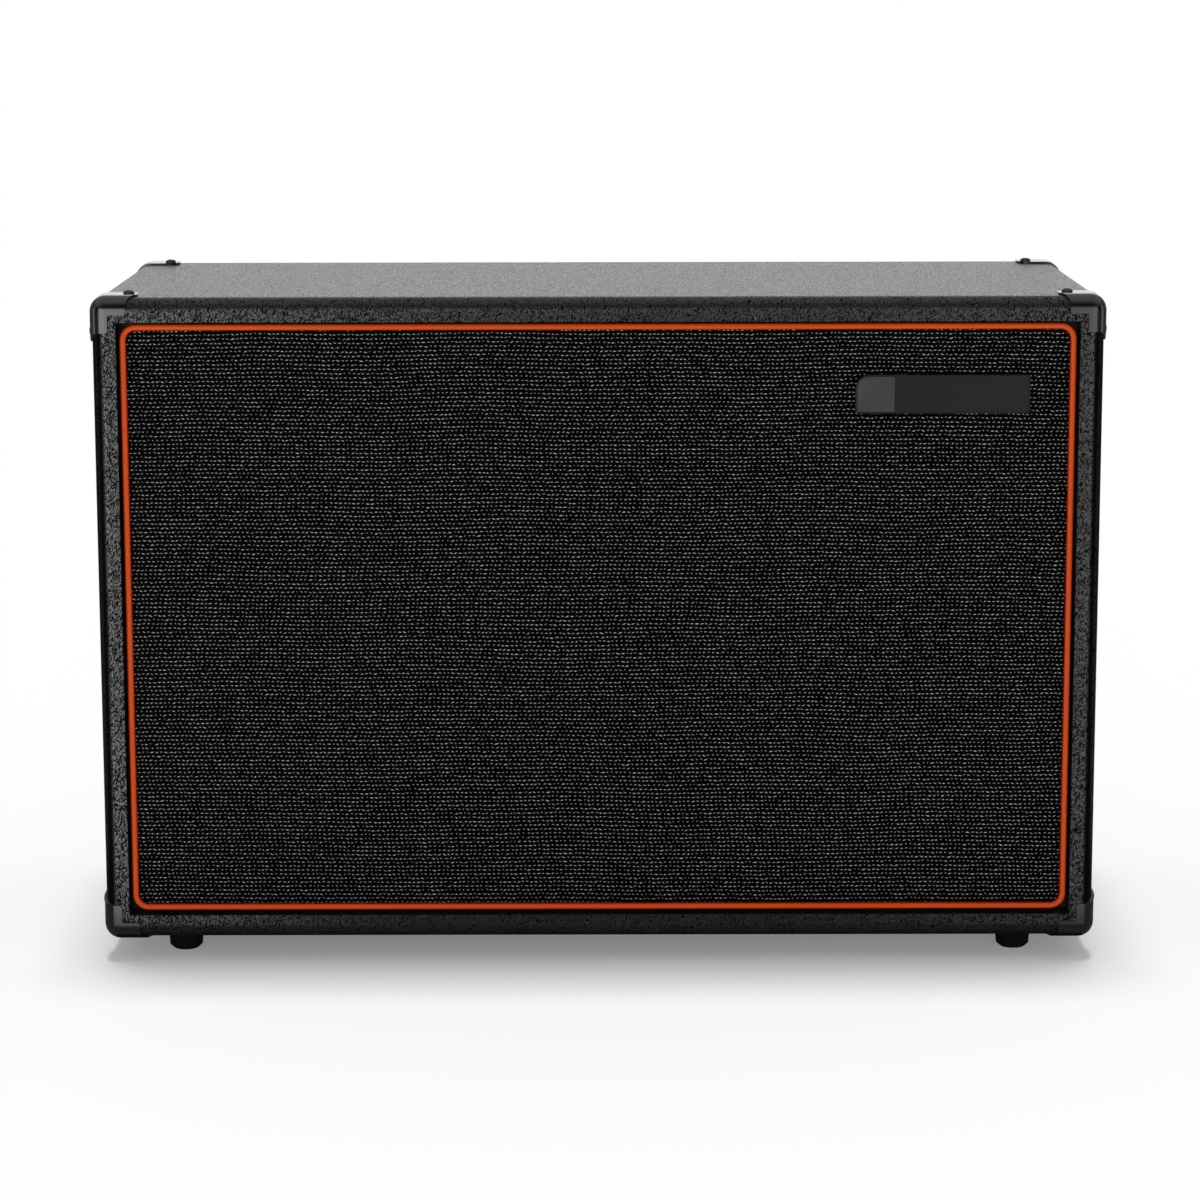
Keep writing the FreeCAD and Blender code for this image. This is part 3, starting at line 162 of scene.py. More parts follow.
def noiseValue(finish, place, scale, detail=2.0, rough=0.5):
    inputs = {"Vector": place, "Scale": scale, "Detail": detail, "Roughness": rough}
    return addNode(finish, "TexNoise", inputs).outputs["Fac"]


def setShader(finish, socket, source):
    plug(finish, source, shaderOf(finish).inputs[socket])


def addRelief(finish, height, depth, strength):
    inputs = {"Height": height, "Distance": depth, "Strength": strength}
    setShader(finish, "Normal", addNode(finish, "Bump", inputs).outputs["Normal"])


# vinyl covering: leathery ridges parted by thin dull creases, the ridges painted lighter as painted sheen
# and the creases darker as painted shade; pairs run from crease to ridge
grainedVinyl = {
    "color": ((0.0006, 0.0006, 0.0006), (0.006, 0.006, 0.0062)),
    "roughness": (0.44, 0.28),
    "shine": (0.05, 0.95),
    "grainWidth": 0.00145,
    "grainLength": 0.0034,
    "lean": (-16.0, 16.0, 0.0),
    "driftScale": 0.3,
    "waviness": 0.8,
    "ridgeEdge": (0.012, 0.08),
    "crown": 0.11,
    "relief": 0.0006,
    "patchScale": 0.12,
    "patchEdge": (0.0, 0.7),
    "bend": (0.36, 0.08),
    "bendShare": 0.1,
}


def makeVinyl():
    spec = grainedVinyl
    creaseShadeColor, ridgeSheenColor = spec["color"]
    finish = newFinish("grainedVinyl", ridgeSheenColor, spec["roughness"][1], shine=spec["shine"][1])
    size = (spec["grainWidth"], spec["grainWidth"], spec["grainLength"])
    lean = tuple(math.radians(a) for a in spec["lean"])
    inputs = {"Vector": objectPlace(finish), "Scale": size, "Rotation": lean}
    place = addNode(finish, "Mapping", inputs, vector_type="TEXTURE").outputs["Vector"]
    inputs = {"Vector": place, "Scale": spec["driftScale"], "Detail": 1.0}
    drift = addNode(finish, "TexNoise", inputs).outputs["Color"]
    drift = vectorCalc(finish, "SUBTRACT", drift, (noiseMiddle,) * 3)
    drift = vectorCalc(finish, "MULTIPLY", drift, (spec["waviness"],) * 3)
    warped = vectorCalc(finish, "ADD", place, drift)
    # folding the noise at its middle leaves the thin creases
    swell = magnitude(finish, minus(finish, noiseValue(finish, warped, 1.0, detail=0.0), noiseMiddle))
    ridge = between(finish, swell, *spec["ridgeEdge"])
    # painted shade on the rounded upright edges: the base colour is darker there, the shine lower and the
    # grain flatter
    slopes = magnitude(finish, product(finish, facing(finish, 0), facing(finish, 1)))
    edgeShadeMask = fromTo(finish, between(finish, slopes, *spec["bend"]), spec["bendShare"], 1.0)
    patch = between(finish, noiseValue(finish, place, spec["patchScale"], detail=3.0), *spec["patchEdge"])
    shade = product(finish, product(finish, ridge, patch), edgeShadeMask)
    # base colour: painted sheen on the ridges, painted shade in the creases and on the rounded edges
    setShader(finish, "Base Color", mixColor(finish, shade, creaseShadeColor, ridgeSheenColor))
    setShader(finish, "Roughness", fromTo(finish, ridge, *spec["roughness"]))
    shine = fromTo(finish, ridge, *spec["shine"])
    setShader(finish, "Specular IOR Level", product(finish, edgeShadeMask, shine))
    addRelief(finish, between(finish, swell, 0.0, spec["crown"]), spec["relief"], edgeShadeMask)
    return finish


# grille cloth: rows of small pale beads on a black ground, some joined by a faint slanting thread;
# lengths and heights of beads and threads are shares of a cell
fleckedCloth = {
    "ground": (0.0008, 0.0008, 0.0009),
    "fleck": (0.60, 0.60, 0.59),
    "roughness": 0.7,
    "shine": 0.03,
    "rowPitch": 0.00304,
    "rowWander": 0.0045,
    "wanderScale": 9.0,
    "fleckPitch": 0.0033,
    "fleckDrift": 1.1,
    "driftScale": 130.0,
    "halfLength": (0.13, 0.33),
    "halfHeight": 0.12,
    "slant": (-0.45, 0.45),
    "uneven": 0.2,
    "beadEdge": (1.3, 0.2),
    "beadTone": (0.4, 0.95),
    "thread": 0.07,
    "threadEdge": (0.16, 0.03),
    "threadLuck": (0.35, 0.75),
    "weaveStretch": (1, 1, 2),
    "weaveScale": 1500.0,
    "weave": 0.3,
    "relief": 0.0003,
}


def makeCloth():
    spec = fleckedCloth
    finish = newFinish("fleckedCloth", spec["ground"], spec["roughness"], shine=spec["shine"])
    axes = axisValues(finish)
    place = objectPlace(finish)
    wander = product(finish, noiseValue(finish, place, spec["wanderScale"], detail=1.0), spec["rowWander"])
    row = calc(finish, "DIVIDE", calc(finish, "ADD", axes[2], wander), spec["rowPitch"])
    rowIndex = calc(finish, "FLOOR", row)
    up = minus(finish, calc(finish, "FRACT", row), 0.5)  # from the middle of the row
    shift = addNode(finish, "TexWhiteNoise", {"W": rowIndex}, noise_dimensions="1D").outputs["Value"]
    drift = noiseValue(finish, place, spec["driftScale"], detail=1.0)
    along = calc(finish, "DIVIDE", axes[0], spec["fleckPitch"])
    along = calc(finish, "ADD", along, calc(finish, "MULTIPLY_ADD", drift, spec["fleckDrift"], shift))
    cell = calc(finish, "FLOOR", along)
    side = minus(finish, calc(finish, "FRACT", along), 0.5)  # from the middle of the cell
    spot = addNode(finish, "CombineXYZ", {0: cell, 1: rowIndex, 2: 0.0}).outputs[0]
    luck = addNode(finish, "TexWhiteNoise", {"Vector": spot}, noise_dimensions="2D").outputs["Color"]
    lengthLuck, toneLuck, slantLuck = addNode(finish, "SeparateColor", {0: luck}).outputs[:3]
    slant = fromTo(finish, slantLuck, *spec["slant"])
    lift = calc(finish, "MULTIPLY_ADD", minus(finish, toneLuck, 0.5), spec["uneven"], up)
    lift = calc(finish, "MULTIPLY_ADD", side, slant, lift)
    wide = calc(finish, "DIVIDE", side, fromTo(finish, lengthLuck, *spec["halfLength"]))
    tall = calc(finish, "DIVIDE", lift, spec["halfHeight"])
    off = calc(finish, "ADD", product(finish, wide, wide), product(finish, tall, tall))
    bead = between(finish, off, *spec["beadEdge"])
    bead = product(finish, bead, fromTo(finish, toneLuck, *spec["beadTone"]))
    thread = between(finish, magnitude(finish, lift), *spec["threadEdge"])
    thread = product(finish, thread, between(finish, toneLuck, *spec["threadLuck"]))
    glow = greatest(finish, bead, product(finish, thread, spec["thread"]))
    setShader(finish, "Base Color", mixColor(finish, glow, spec["ground"], spec["fleck"]))
    weave = noiseValue(finish, objectPlace(finish, spec["weaveStretch"]), spec["weaveScale"])
    height = calc(finish, "MULTIPLY_ADD", weave, spec["weave"], glow)
    addRelief(finish, height, spec["relief"], softRelief)
    return finish


# plywood: broad figure and fine fibre, both drawn out along one axis
birchPly = {
    "light": (0.60, 0.43, 0.25),
    "dark": (0.40, 0.255, 0.13),
    "roughness": 0.55,
    "along": 3.0,
    "across": 45.0,
    "figureScale": 1.6,
    "figureDetail": 5.0,
    "figureRough": 0.6,
    "figureEdge": (0.3, 0.75),
    "fineAlong": 12.0,
    "fineAcross": 420.0,
    "fineShare": 0.35,
    "relief": 0.00012,
    "strength": 0.5,
}


def makePly(name, axis):
    spec = birchPly
    finish = newFinish(name, spec["light"], spec["roughness"])
    broad = [spec["along"] if i == axis else spec["across"] for i in range(3)]
    narrow = [spec["fineAlong"] if i == axis else spec["fineAcross"] for i in range(3)]
    place = objectPlace(finish, broad)
    figure = noiseValue(finish, place, spec["figureScale"], spec["figureDetail"], spec["figureRough"])
    figure = between(finish, figure, *spec["figureEdge"])
    fine = noiseValue(finish, objectPlace(finish, narrow), 1.0)
    tone = calc(finish, "MULTIPLY_ADD", fine, spec["fineShare"], figure)
    setShader(finish, "Base Color", mixColor(finish, tone, spec["light"], spec["dark"]))
    addRelief(finish, fine, spec["relief"], spec["strength"])
    return finish


# baffle: painted black towards the grille, bare ply behind
bafflePaint = (0.012, 0.012, 0.012)


def makeBaffle():
    finish = makePly("baffleBoard", 0)
    bare = shaderOf(finish).inputs["Base Color"].links[0].from_socket
    rear = calc(finish, "GREATER_THAN", facing(finish, 1, "True Normal"), 0.5)
    setShader(finish, "Base Color", mixColor(finish, rear, bafflePaint, bare))
    return finish


# piping: painted shade, the base colour deeper red where the cord turns down into its gaps
orangePiping = {
    "crown": (0.71, 0.078, 0.0035),
    "flank": (0.25, 0.003, 0.0004),
    "turn": (0.35, 0.95),
    "roughness": 0.3,
    "shine": 0.2,
}


def makePiping():
    spec = orangePiping
    finish = newFinish("pipingOrange", spec["crown"], spec["roughness"], shine=spec["shine"])
    # painted shade: the flank colour on the sides of the cord, the crown colour facing out
    crown = between(finish, product(finish, facing(finish, 1), -1.0), *spec["turn"])
    setShader(finish, "Base Color", mixColor(finish, crown, spec["flank"], spec["crown"]))
    return finish


# disc on the magnet: plain black with thin gold rings, each a radius and half its width
labelDisc = {
    "ground": (0.012, 0.012, 0.013),
    "gold": (0.62, 0.42, 0.13),
    "roughness": 0.45,
    "rings": ((0.0632, 0.0006), (0.0225, 0.0004)),
}


def makeLabel():
    spec = labelDisc
    finish = newFinish("labelDisc", spec["ground"], spec["roughness"])
    axes = axisValues(finish)
    low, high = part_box("right_yoke")
    middle = (low + high) / 2
    across = minus(finish, magnitude(finish, axes[0]), middle.x)  # both drivers at once
    up = minus(finish, axes[2], middle.z)
    squares = calc(finish, "ADD", product(finish, across, across), product(finish, up, up))
    radius = calc(finish, "SQRT", squares)
    ring = 0.0
    for place, half in spec["rings"]:
        off = magnitude(finish, minus(finish, radius, place))
        ring = greatest(finish, ring, calc(finish, "LESS_THAN", off, half))
    setShader(finish, "Base Color", mixColor(finish, ring, spec["ground"], spec["gold"]))
    setShader(finish, "Metallic", ring)
    return finish


# jacks and switch: metal from the plate outwards and on the tags inside, plastic between them;
# the roughness runs from plastic to metal
socketParts = {
    "plastic": (0.02, 0.02, 0.02),
    "metal": (0.66, 0.66, 0.65),
    "roughness": (0.45, 0.27),
    "plateLip": 0.0002,
    "tagLength": 0.0068,
}


def makeSocketFinish():
    spec = socketParts
    finish = newFinish("socketParts", spec["plastic"], spec["roughness"][0])
    depth = axisValues(finish)[1]
    outer = calc(finish, "GREATER_THAN", depth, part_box("socket_plate")[0].y + spec["plateLip"])
    tags = calc(finish, "LESS_THAN", depth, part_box("left_jack")[0].y + spec["tagLength"])
    metal = greatest(finish, outer, tags)
    setShader(finish, "Base Color", mixColor(finish, metal, spec["plastic"], spec["metal"]))
    setShader(finish, "Metallic", metal)
    setShader(finish, "Roughness", fromTo(finish, metal, *spec["roughness"]))
    return finish


# even finishes with a little grain: colour, roughness, scale of the grain, its relief, what else departs
speckled = {
    "cornerPlastic": ((0.004, 0.004, 0.0042), 0.14, 900.0, 0.00001, {"shine": 1.0}),
    "handlePlastic": ((0.012, 0.012, 0.0125), 0.45, 1100.0, 0.00016, {}),
    "footRubber": ((0.005, 0.005, 0.005), 0.75, 700.0, 0.00008, {"shine": 0.15}),
    "blackBoard": ((0.012, 0.012, 0.012), 0.8, 260.0, 0.0001, {}),
    "hookPad": ((0.02, 0.02, 0.02), 0.95, 1500.0, 0.0004, {}),
    "blackSteel": ((0.018, 0.018, 0.019), 0.38, 1200.0, 0.00003, {}),
    "zincSteel": ((0.60, 0.61, 0.62), 0.34, 420.0, 0.00002, {"metallic": 1.0, "spread": 0.12}),
    "basketPaint": ((0.60, 0.57, 0.475), 0.38, 600.0, 0.00003, {"spread": 0.04}),
    "ferrite": ((0.045, 0.045, 0.048), 0.6, 500.0, 0.0001, {}),
    "conePaper": ((0.02, 0.02, 0.021), 0.85, 700.0, 0.00025, {}),
    "spiderCloth": ((0.42, 0.29, 0.11), 0.8, 1400.0, 0.0003, {}),
    "gasket": ((0.03, 0.03, 0.03), 0.9, 900.0, 0.0002, {}),
    "fibreBoard": ((0.30, 0.30, 0.28), 0.7, 800.0, 0.00008, {}),
    "badgePlate": ((0.009, 0.009, 0.0094), 0.4, 1500.0, 0.00002, {"shine": 0.25}),
    "badgeField": ((0.05, 0.05, 0.052), 0.4, 1500.0, 0.00002, {"shine": 0.25}),
}


def makeSpeckled(name, color, roughness, scale, relief, metallic=0.0, shine=usualShine, spread=0.25):
    finish = newFinish(name, color, roughness, metallic, shine)
    grain = noiseValue(finish, objectPlace(finish), scale, detail=3.0)
    dark = tuple(c * (1 - spread) for c in color)
    light = tuple(min(1.0, c * (1 + spread)) for c in color)
    setShader(finish, "Base Color", mixColor(finish, grain, dark, light))
    addRelief(finish, grain, relief, softRelief)
    return finish


finishes = {
    "vinyl": makeVinyl(),
    "cloth": makeCloth(),
    "ply": makePly("birchPly", 0),
    "uprightPly": makePly("uprightPly", 2),
    "baffle": makeBaffle(),
    "piping": makePiping(),
    "label": makeLabel(),
    "socket": makeSocketFinish(),
    "copper": newFinish("coilCopper", (0.70, 0.36, 0.18), 0.35, metallic=1.0),
    "tinned": newFinish("tinnedTag", (0.75, 0.74, 0.72), 0.28, metallic=1.0),
}
for name, (*look, departs) in speckled.items():
    finishes[name] = makeSpeckled(name, *look, **departs)

nodeFinish = {
    "vinyl": ["vinyl_covering", "upper_rear_panel", "lower_rear_panel"],
    "ply": ["top_panel", "bottom_panel"],
    "uprightPly": ["left_side_panel", "right_side_panel", "baffle_battens", "rear_battens"],
    "baffle": ["baffle_board"],
    "blackBoard": ["grille_board"],
    "hookPad": ["grille_pads"],
    "cornerPlastic": ["corner_protectors"],
    "handlePlastic": ["left_handle_dish", "right_handle_dish", "handle_grips", "jack_dish"],
    "footRubber": ["rubber_feet"],
    "blackSteel": ["socket_plate", "corner_screws", "foot_screws", "handle_screws", "rear_screws"],
    "socket": ["left_jack", "right_jack", "mode_switch"],
    "zincSteel": ["mode_switch_lever", "driver_bolts", "driver_nuts"],
    "gasket": ["driver_gaskets"],
    "label": ["magnet_labels"],
    "fibreBoard": ["terminal_boards"],
    "tinned": ["terminal_tags"],
    "badgePlate": ["badge_plate"],
    "cloth": ["grille_cloth"],
    "piping": ["grille_piping"],
}
driverFinish = {
    "basket": "basketPaint", "top_plate": "zincSteel", "magnet": "ferrite", "yoke": "zincSteel",
    "cone": "conePaper", "surround": "conePaper", "dust_cap": "conePaper", "spider": "spiderCloth",
    "voice_coil": "copper",
}
for side in ("left_", "right_"):
    for part, finish in driverFinish.items():
        nodeFinish.setdefault(finish, []).append(side + part)
for finish, names in nodeFinish.items():
    for name in names:
        cad[name].data.materials.clear()
        cad[name].data.materials.append(finishes[finish])
print("finishes on", sum(len(names) for names in nodeFinish.values()), "nodes")

weldReach = 1e-6  # points closer than this are one


# mesh helpers
def makePiece(name, points, faces, finish, body):
    mesh = bpy.data.meshes.new(name)
    mesh.from_pydata([tuple(p) for p in points], [], faces)
    mesh.validate()
    shape = bmesh.new()
    shape.from_mesh(mesh)
    bmesh.ops.recalc_face_normals(shape, faces=shape.faces)
    shape.to_mesh(mesh)
    shape.free()
    for face in mesh.polygons:
        face.use_smooth = True
    piece = bpy.data.objects.new(name, mesh)
    bpy.context.scene.collection.objects.link(piece)
    mesh.materials.append(finishes[finish])
    if body:
        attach(piece, body)
    return piece


def sharpen(piece, degrees=35):
    piece.data.set_sharp_from_angle(angle=math.radians(degrees))


def outwardAt(angle):
    return Vector((math.cos(angle), 0, math.sin(angle)))


def roundedPath(x, z, radii, steps):
    # closed outline in XZ, anticlockwise from the lower right corner, with its outward direction
    corners = ((x[1], z[0], -90), (x[1], z[1], 0), (x[0], z[1], 90), (x[0], z[0], 180))
    path = []
    for (cornerX, cornerZ, start), radius in zip(corners, radii):
        insideX = cornerX - radius if cornerX == x[1] else cornerX + radius
        insideZ = cornerZ - radius if cornerZ == z[1] else cornerZ + radius
        for step in range(steps + 1):
            outward = outwardAt(math.radians(start + 90 * step / steps))
            path.append((Vector((insideX, 0, insideZ)) + outward * radius, outward))
    return path


def bandFaces(first, second, count):
    # quads between two closed rings of count points, told by the first point of each
    faces = []
    for step in range(count):
        beside = (step + 1) % count
        faces.append((first + step, second + step, second + beside, first + beside))
    return faces


def sweptLoop(path, profile):
    # profile: closed list of (outwards, depth); one ring of it at every point of the closed path
    points, faces = [], []
    count = len(profile)
    for middle, outward in path:
        points += [middle + outward * out + Vector((0, depth, 0)) for out, depth in profile]
    for ring in range(len(path)):
        after = (ring + 1) % len(path)
        faces += bandFaces(ring * count, after * count, count)
    return points, faces


def stackedRings(rings):
    # rings of equal count joined one to the next, closed at both ends
    points = [p for ring in rings for p in ring]
    count = len(rings[0])
    last = (len(rings) - 1) * count
    faces = [tuple(range(count)), tuple(range(last, last + count))]
    for ring in range(len(rings) - 1):
        faces += bandFaces(ring * count, (ring + 1) * count, count)
    return points, faces


def islands(name):
    # boxes of the separate solids of one node
    shape = bmesh.new()
    shape.from_mesh(cad[name].data)
    bmesh.ops.remove_doubles(shape, verts=shape.verts, dist=weldReach)
    seen, boxes = set(), []
    for vert in shape.verts:
        if vert in seen:
            continue
        stack, found = [vert], []
        seen.add(vert)
        while stack:
            here = stack.pop()
            found.append(here.co.copy())
            for edge in here.link_edges:
                there = edge.other_vert(here)
                if there not in seen:
                    seen.add(there)
                    stack.append(there)
        low = Vector(tuple(min(p[i] for p in found) for i in range(3)))
        high = Vector(tuple(max(p[i] for p in found) for i in range(3)))
        boxes.append((low, high))
    shape.free()
    return sorted(boxes, key=lambda b: tuple(round(v, 5) for v in b[0]))


# grille cloth: one stretched sheet inside the piping, hardly rippled
clothSheet = {
    "columns": 96, "rows": 60, "corner": 0.009, "ripple": 0.00012, "rippleTurn": (61, 47),
}
low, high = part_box("grille_cloth")
halfX, halfZ = (high.x - low.x) / 2, (high.z - low.z) / 2
clothMiddle = (low + high) / 2
columns, rows, corner = clothSheet["columns"], clothSheet["rows"], clothSheet["corner"]
ripple, (turnX, turnZ) = clothSheet["ripple"], clothSheet["rippleTurn"]
points, faces = [], []
for row in range(rows + 1):
    for column in range(columns + 1):
        across = halfX * (2 * column / columns - 1)
        up = halfZ * (2 * row / rows - 1)
        beyond = Vector((max(0, abs(across) - halfX + corner), max(0, abs(up) - halfZ + corner)))
        if beyond.length > corner:
            beyond *= corner / beyond.length
            across = math.copysign(halfX - corner + beyond.x, across)
            up = math.copysign(halfZ - corner + beyond.y, up)
        wave = math.sin(across * turnX) * math.sin(up * turnZ) * ripple
        points.append((clothMiddle.x + across, low.y + ripple + wave, clothMiddle.z + up))
wide = columns + 1
for row in range(rows):
    for column in range(columns):
        first = row * wide + column
        faces.append((first, first + 1, first + wide + 1, first + wide))
clothPiece = makePiece("stretched_cloth", points, faces, "cloth", "cabinet")
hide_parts("grille_cloth")
print("grille cloth stretched")

# piping: round cord with a flat tail down the edge of the board
pipingCord = {"radius": 0.0025, "tailHalf": 0.0005, "corner": 0.0095, "cornerSteps": 14, "sides": 20}
low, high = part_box("grille_piping")
cordRadius, tailHalf = pipingCord["radius"], pipingCord["tailHalf"]
cordY = low.y + cordRadius
path = roundedPath(
    (low.x + cordRadius, high.x - cordRadius),
    (low.z + cordRadius, high.z - cordRadius),
    [pipingCord["corner"]] * 4,
    pipingCord["cornerSteps"],
)
join = math.asin(tailHalf / cordRadius)
profile = []
for step in range(pipingCord["sides"] + 1):
    angle = join + (2 * math.pi - 2 * join) * step / pipingCord["sides"]
    profile.append((cordRadius * math.sin(angle), cordY + cordRadius * math.cos(angle)))
profile += [(-tailHalf, high.y), (tailHalf, high.y)]
points, faces = sweptLoop(path, profile)
pipingPiece = makePiece("piping_cord", points, faces, "piping", "cabinet")
sharpen(pipingPiece, degrees=50)
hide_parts("grille_piping")
print("piping laid")

# badge: bare plate with a raised border and one lighter field; fieldLevels are (inset, share of the sink)
badgePlate = {
    "largeCorner": 0.010, "corner": 0.002, "leastCorner": 0.0004, "cornerSteps": 8,
    "bevel": 0.0006, "bevelMiddle": 0.3, "border": 0.0004, "sink": 0.0004, "sinkSlope": 0.5,
    "fieldShare": 0.212, "fieldCorner": 0.5, "fieldLevels": ((0, 1), (0, 0.4), (0.0003, 0.1)),
}
low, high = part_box("badge_plate")
small, large = badgePlate["corner"], badgePlate["largeCorner"]


def badgeRing(inset, depth):
    radii = [max(badgePlate["leastCorner"], r - inset) for r in (small, small, large, small)]
    spanX, spanZ = (low.x + inset, high.x - inset), (low.z + inset, high.z - inset)
    path = roundedPath(spanX, spanZ, radii, badgePlate["cornerSteps"])
    return [p + Vector((0, depth, 0)) for p, outward in path]


bevel, border, sink = badgePlate["bevel"], badgePlate["border"], badgePlate["sink"]
bevelMiddle = bevel * badgePlate["bevelMiddle"]
points, faces = stackedRings([
    badgeRing(0, high.y),
    badgeRing(0, low.y + bevel),
    badgeRing(bevelMiddle, low.y + bevelMiddle),
    badgeRing(bevel, low.y),
    badgeRing(bevel + border, low.y),
    badgeRing(bevel + border + sink * badgePlate["sinkSlope"], low.y + sink),
])
badgePiece = makePiece("badge_bare_plate", points, faces, "badgePlate", "cabinet")
sharpen(badgePiece)
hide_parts("badge_plate")

inside = bevel + border + sink
fieldEnd = low.x + inside + (high.x - low.x) * badgePlate["fieldShare"]
fieldCorner = small * badgePlate["fieldCorner"]
outline = roundedPath(
    (low.x + inside, fieldEnd),
    (low.z + inside, high.z - inside),
    (fieldCorner, fieldCorner, large - inside, fieldCorner),
    badgePlate["cornerSteps"],
)
rings = []
for inset, share in badgePlate["fieldLevels"]:
    rings.append([p - outward * inset + Vector((0, low.y + sink * share, 0)) for p, outward in outline])
points, faces = stackedRings(rings)
fieldPiece = makePiece("badge_field", points, faces, "badgeField", "cabinet")
sharpen(fieldPiece)
print("badge made")

# screws: domed heads with a cross recess, set where the solids of each node are
screwHeads = {
    "corner_screws": {"rise": 0.0024, "recess": 0.0011},
    "handle_screws": {"rise": 0.0018, "recess": 0.0011},
    "rear_screws": {"rise": 0.0026, "recess": 0.0014},
    "foot_screws": {"rise": 0.0030, "recess": 0.0014},
}
# shares of the head's radius, but taperFrom is one of the shank's length and point of its radius
screwShape = {
    "sides": 40, "rings": 11, "dome": 0.93,
    "slim": 0.13, "far": 0.58, "wall": 0.9, "end": 1.1,
    "shank": 0.42, "taperFrom": 0.86, "point": 0.15,
    "firstTurn": 0.35, "turnStep": 1.7,
}
cabinetMiddle = (cadBounds[0] + cadBounds[1]) / 2


def crossRecess(across, up, radius):
    # 1 on the floor of the cross, 0 outside it
    slim, far = radius * screwShape["slim"], radius * screwShape["far"]
    near = min(abs(across), abs(up))
    reach = max(abs(across), abs(up))
    wall = (slim * (1 + screwShape["wall"]) - near) / (slim * screwShape["wall"])
    end = (far - reach) / (slim * screwShape["end"])
    return max(0.0, min(1.0, wall)) * max(0.0, min(1.0, end))


def screwMesh(radius, rise, recess, length, turn):
    # head along +Z from its seat at zero, shank below
    points = [Vector((0, 0, rise - recess))]
    sides, rings = screwShape["sides"], screwShape["rings"]
    circle = [2 * math.pi * step / sides for step in range(sides)]
    for ring in range(1, rings + 1):
        share = ring / rings
        dome = rise * math.sqrt(max(0.0, 1 - (share * screwShape["dome"]) ** 2))
        for angle in circle:
            across, up = radius * share * math.cos(angle), radius * share * math.sin(angle)
            turnedX = across * math.cos(turn) + up * math.sin(turn)
            turnedY = up * math.cos(turn) - across * math.sin(turn)
            points.append(Vector((across, up, dome - recess * crossRecess(turnedX, turnedY, radius))))
    shank = radius * screwShape["shank"]
    below = (
        (radius, 0),
        (shank, 0),
        (shank, -length * screwShape["taperFrom"]),
        (shank * screwShape["point"], -length),
    )
    for ringRadius, height in below:
        points += [Vector((ringRadius * math.cos(a), ringRadius * math.sin(a), height)) for a in circle]
    faces = [(0, 1 + step, 1 + (step + 1) % sides) for step in range(sides)]
    bands = rings + len(below) - 1
    for band in range(bands):
        faces += bandFaces(1 + band * sides, 1 + (band + 1) * sides, sides)
    last = 1 + bands * sides
    faces.append(tuple(range(last, last + sides)))
    return points, faces


for name, spec in screwHeads.items():
    allPoints, allFaces = [], []
    rise = spec["rise"]
    for index, (low, high) in enumerate(islands(name)):
        size, middle = high - low, (low + high) / 2
        axis = max(range(3), key=lambda i: size[i])
        outwards = 1 if middle[axis] > cabinetMiddle[axis] else -1
        radius = max(size[i] for i in range(3) if i != axis) / 2
        direction = Vector([outwards if i == axis else 0 for i in range(3)])
        seat = middle + direction * (size[axis] / 2 - rise)
        stand = Vector((0, 0, 1)).rotation_difference(direction).to_matrix()
        turn = screwShape["firstTurn"] + screwShape["turnStep"] * index
        points, faces = screwMesh(radius, rise, spec["recess"], size[axis] - rise, turn)
        start = len(allPoints)
        allPoints += [seat + stand @ p for p in points]
        allFaces += [tuple(start + i for i in face) for face in faces]
    piece = makePiece("domed_" + name, allPoints, allFaces, "blackSteel", "cabinet")
    sharpen(piece, degrees=40)
    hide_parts(name)
print("screws set")

# surround and spider: smooth rolls in sectors, each blending between the basket and the cone
suspension = {
    "surround": {"sheet": 0.0007, "rolls": 2, "height": 0.0027, "coneGap": 0.0003, "rollWidth": 0.0222},
    "spider": {
        "sheet": 0.0006, "rolls": 5, "height": 0.0019, "rollShare": 0.95,
        "neck": 0.02275, "footWidth": 0.008, "heel": 0.0004,
    },
}
sectorCount, sectorSteps, radialSteps = 8, 8, 40
rimGap = 0.0002  # left outside a surround or spider


def ringSectors(label, side, axisPlace, profile, finish):
    # profile: front face from the cone outwards as (radius, y); the rear face lies one sheet behind it
    sheet = suspension[label]["sheet"]
    loop = profile + [(radius, y + sheet) for radius, y in reversed(profile)]
    size = len(loop)
    half = math.pi / sectorCount
    for sector in range(sectorCount):
        rings = []
        for step in range(sectorSteps + 1):
            out = outwardAt(2 * half * (sector + step / sectorSteps))
            rings.append([Vector((axisPlace.x, y, axisPlace.z)) + out * radius for radius, y in loop])
        points, faces = stackedRings(rings)
        piece = makePiece(f"{side}_{label}_sector_{sector + 1}", points, faces, finish, None)
        sharpen(piece, degrees=60)
        out = outwardAt(2 * half * (sector + 0.5))
        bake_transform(piece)
    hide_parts(f"{side}_{label}")


for side in ("left", "right"):
    spec = suspension["surround"]
    low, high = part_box(f"{side}_surround")
    coneLow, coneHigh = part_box(f"{side}_cone")
    axisPlace = Vector(((low.x + high.x) / 2, 0, (low.z + high.z) / 2))
    outer = (high.x - low.x) / 2
    inner = (coneHigh.x - coneLow.x) / 2 + spec["coneGap"]
    free = inner + spec["rollWidth"]
    level = (low.y + high.y) / 2 - spec["sheet"] / 2
    profile = []
    for step in range(radialSteps + 1):
        share = step / radialSteps
        swell = math.sin(share * math.pi * spec["rolls"]) * spec["height"] if 0 < share < 1 else 0
        profile.append((inner + (free - inner) * share, level - swell))
    profile.append((outer - rimGap, level))
    ringSectors("surround", side, axisPlace, profile, "conePaper")

    spec = suspension["spider"]
    low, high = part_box(f"{side}_spider")
    foot = (high.x - low.x) / 2
    inner, free = spec["neck"], foot - spec["footWidth"]
    level = low.y + spec["height"]
    profile = []
    for step in range(radialSteps + 1):
        share = step / radialSteps
        swell = math.sin(share * math.pi * spec["rolls"] * 2) * spec["height"] * spec["rollShare"]
        profile.append((inner + (free - inner) * share, level - swell))
    seat = high.y - spec["sheet"]
    profile += [(free, (level + seat) / 2), (free + spec["heel"], seat), (foot - rimGap, seat)]
    ringSectors("spider", side, axisPlace, profile, "spiderCloth")
print("surrounds and spiders made")

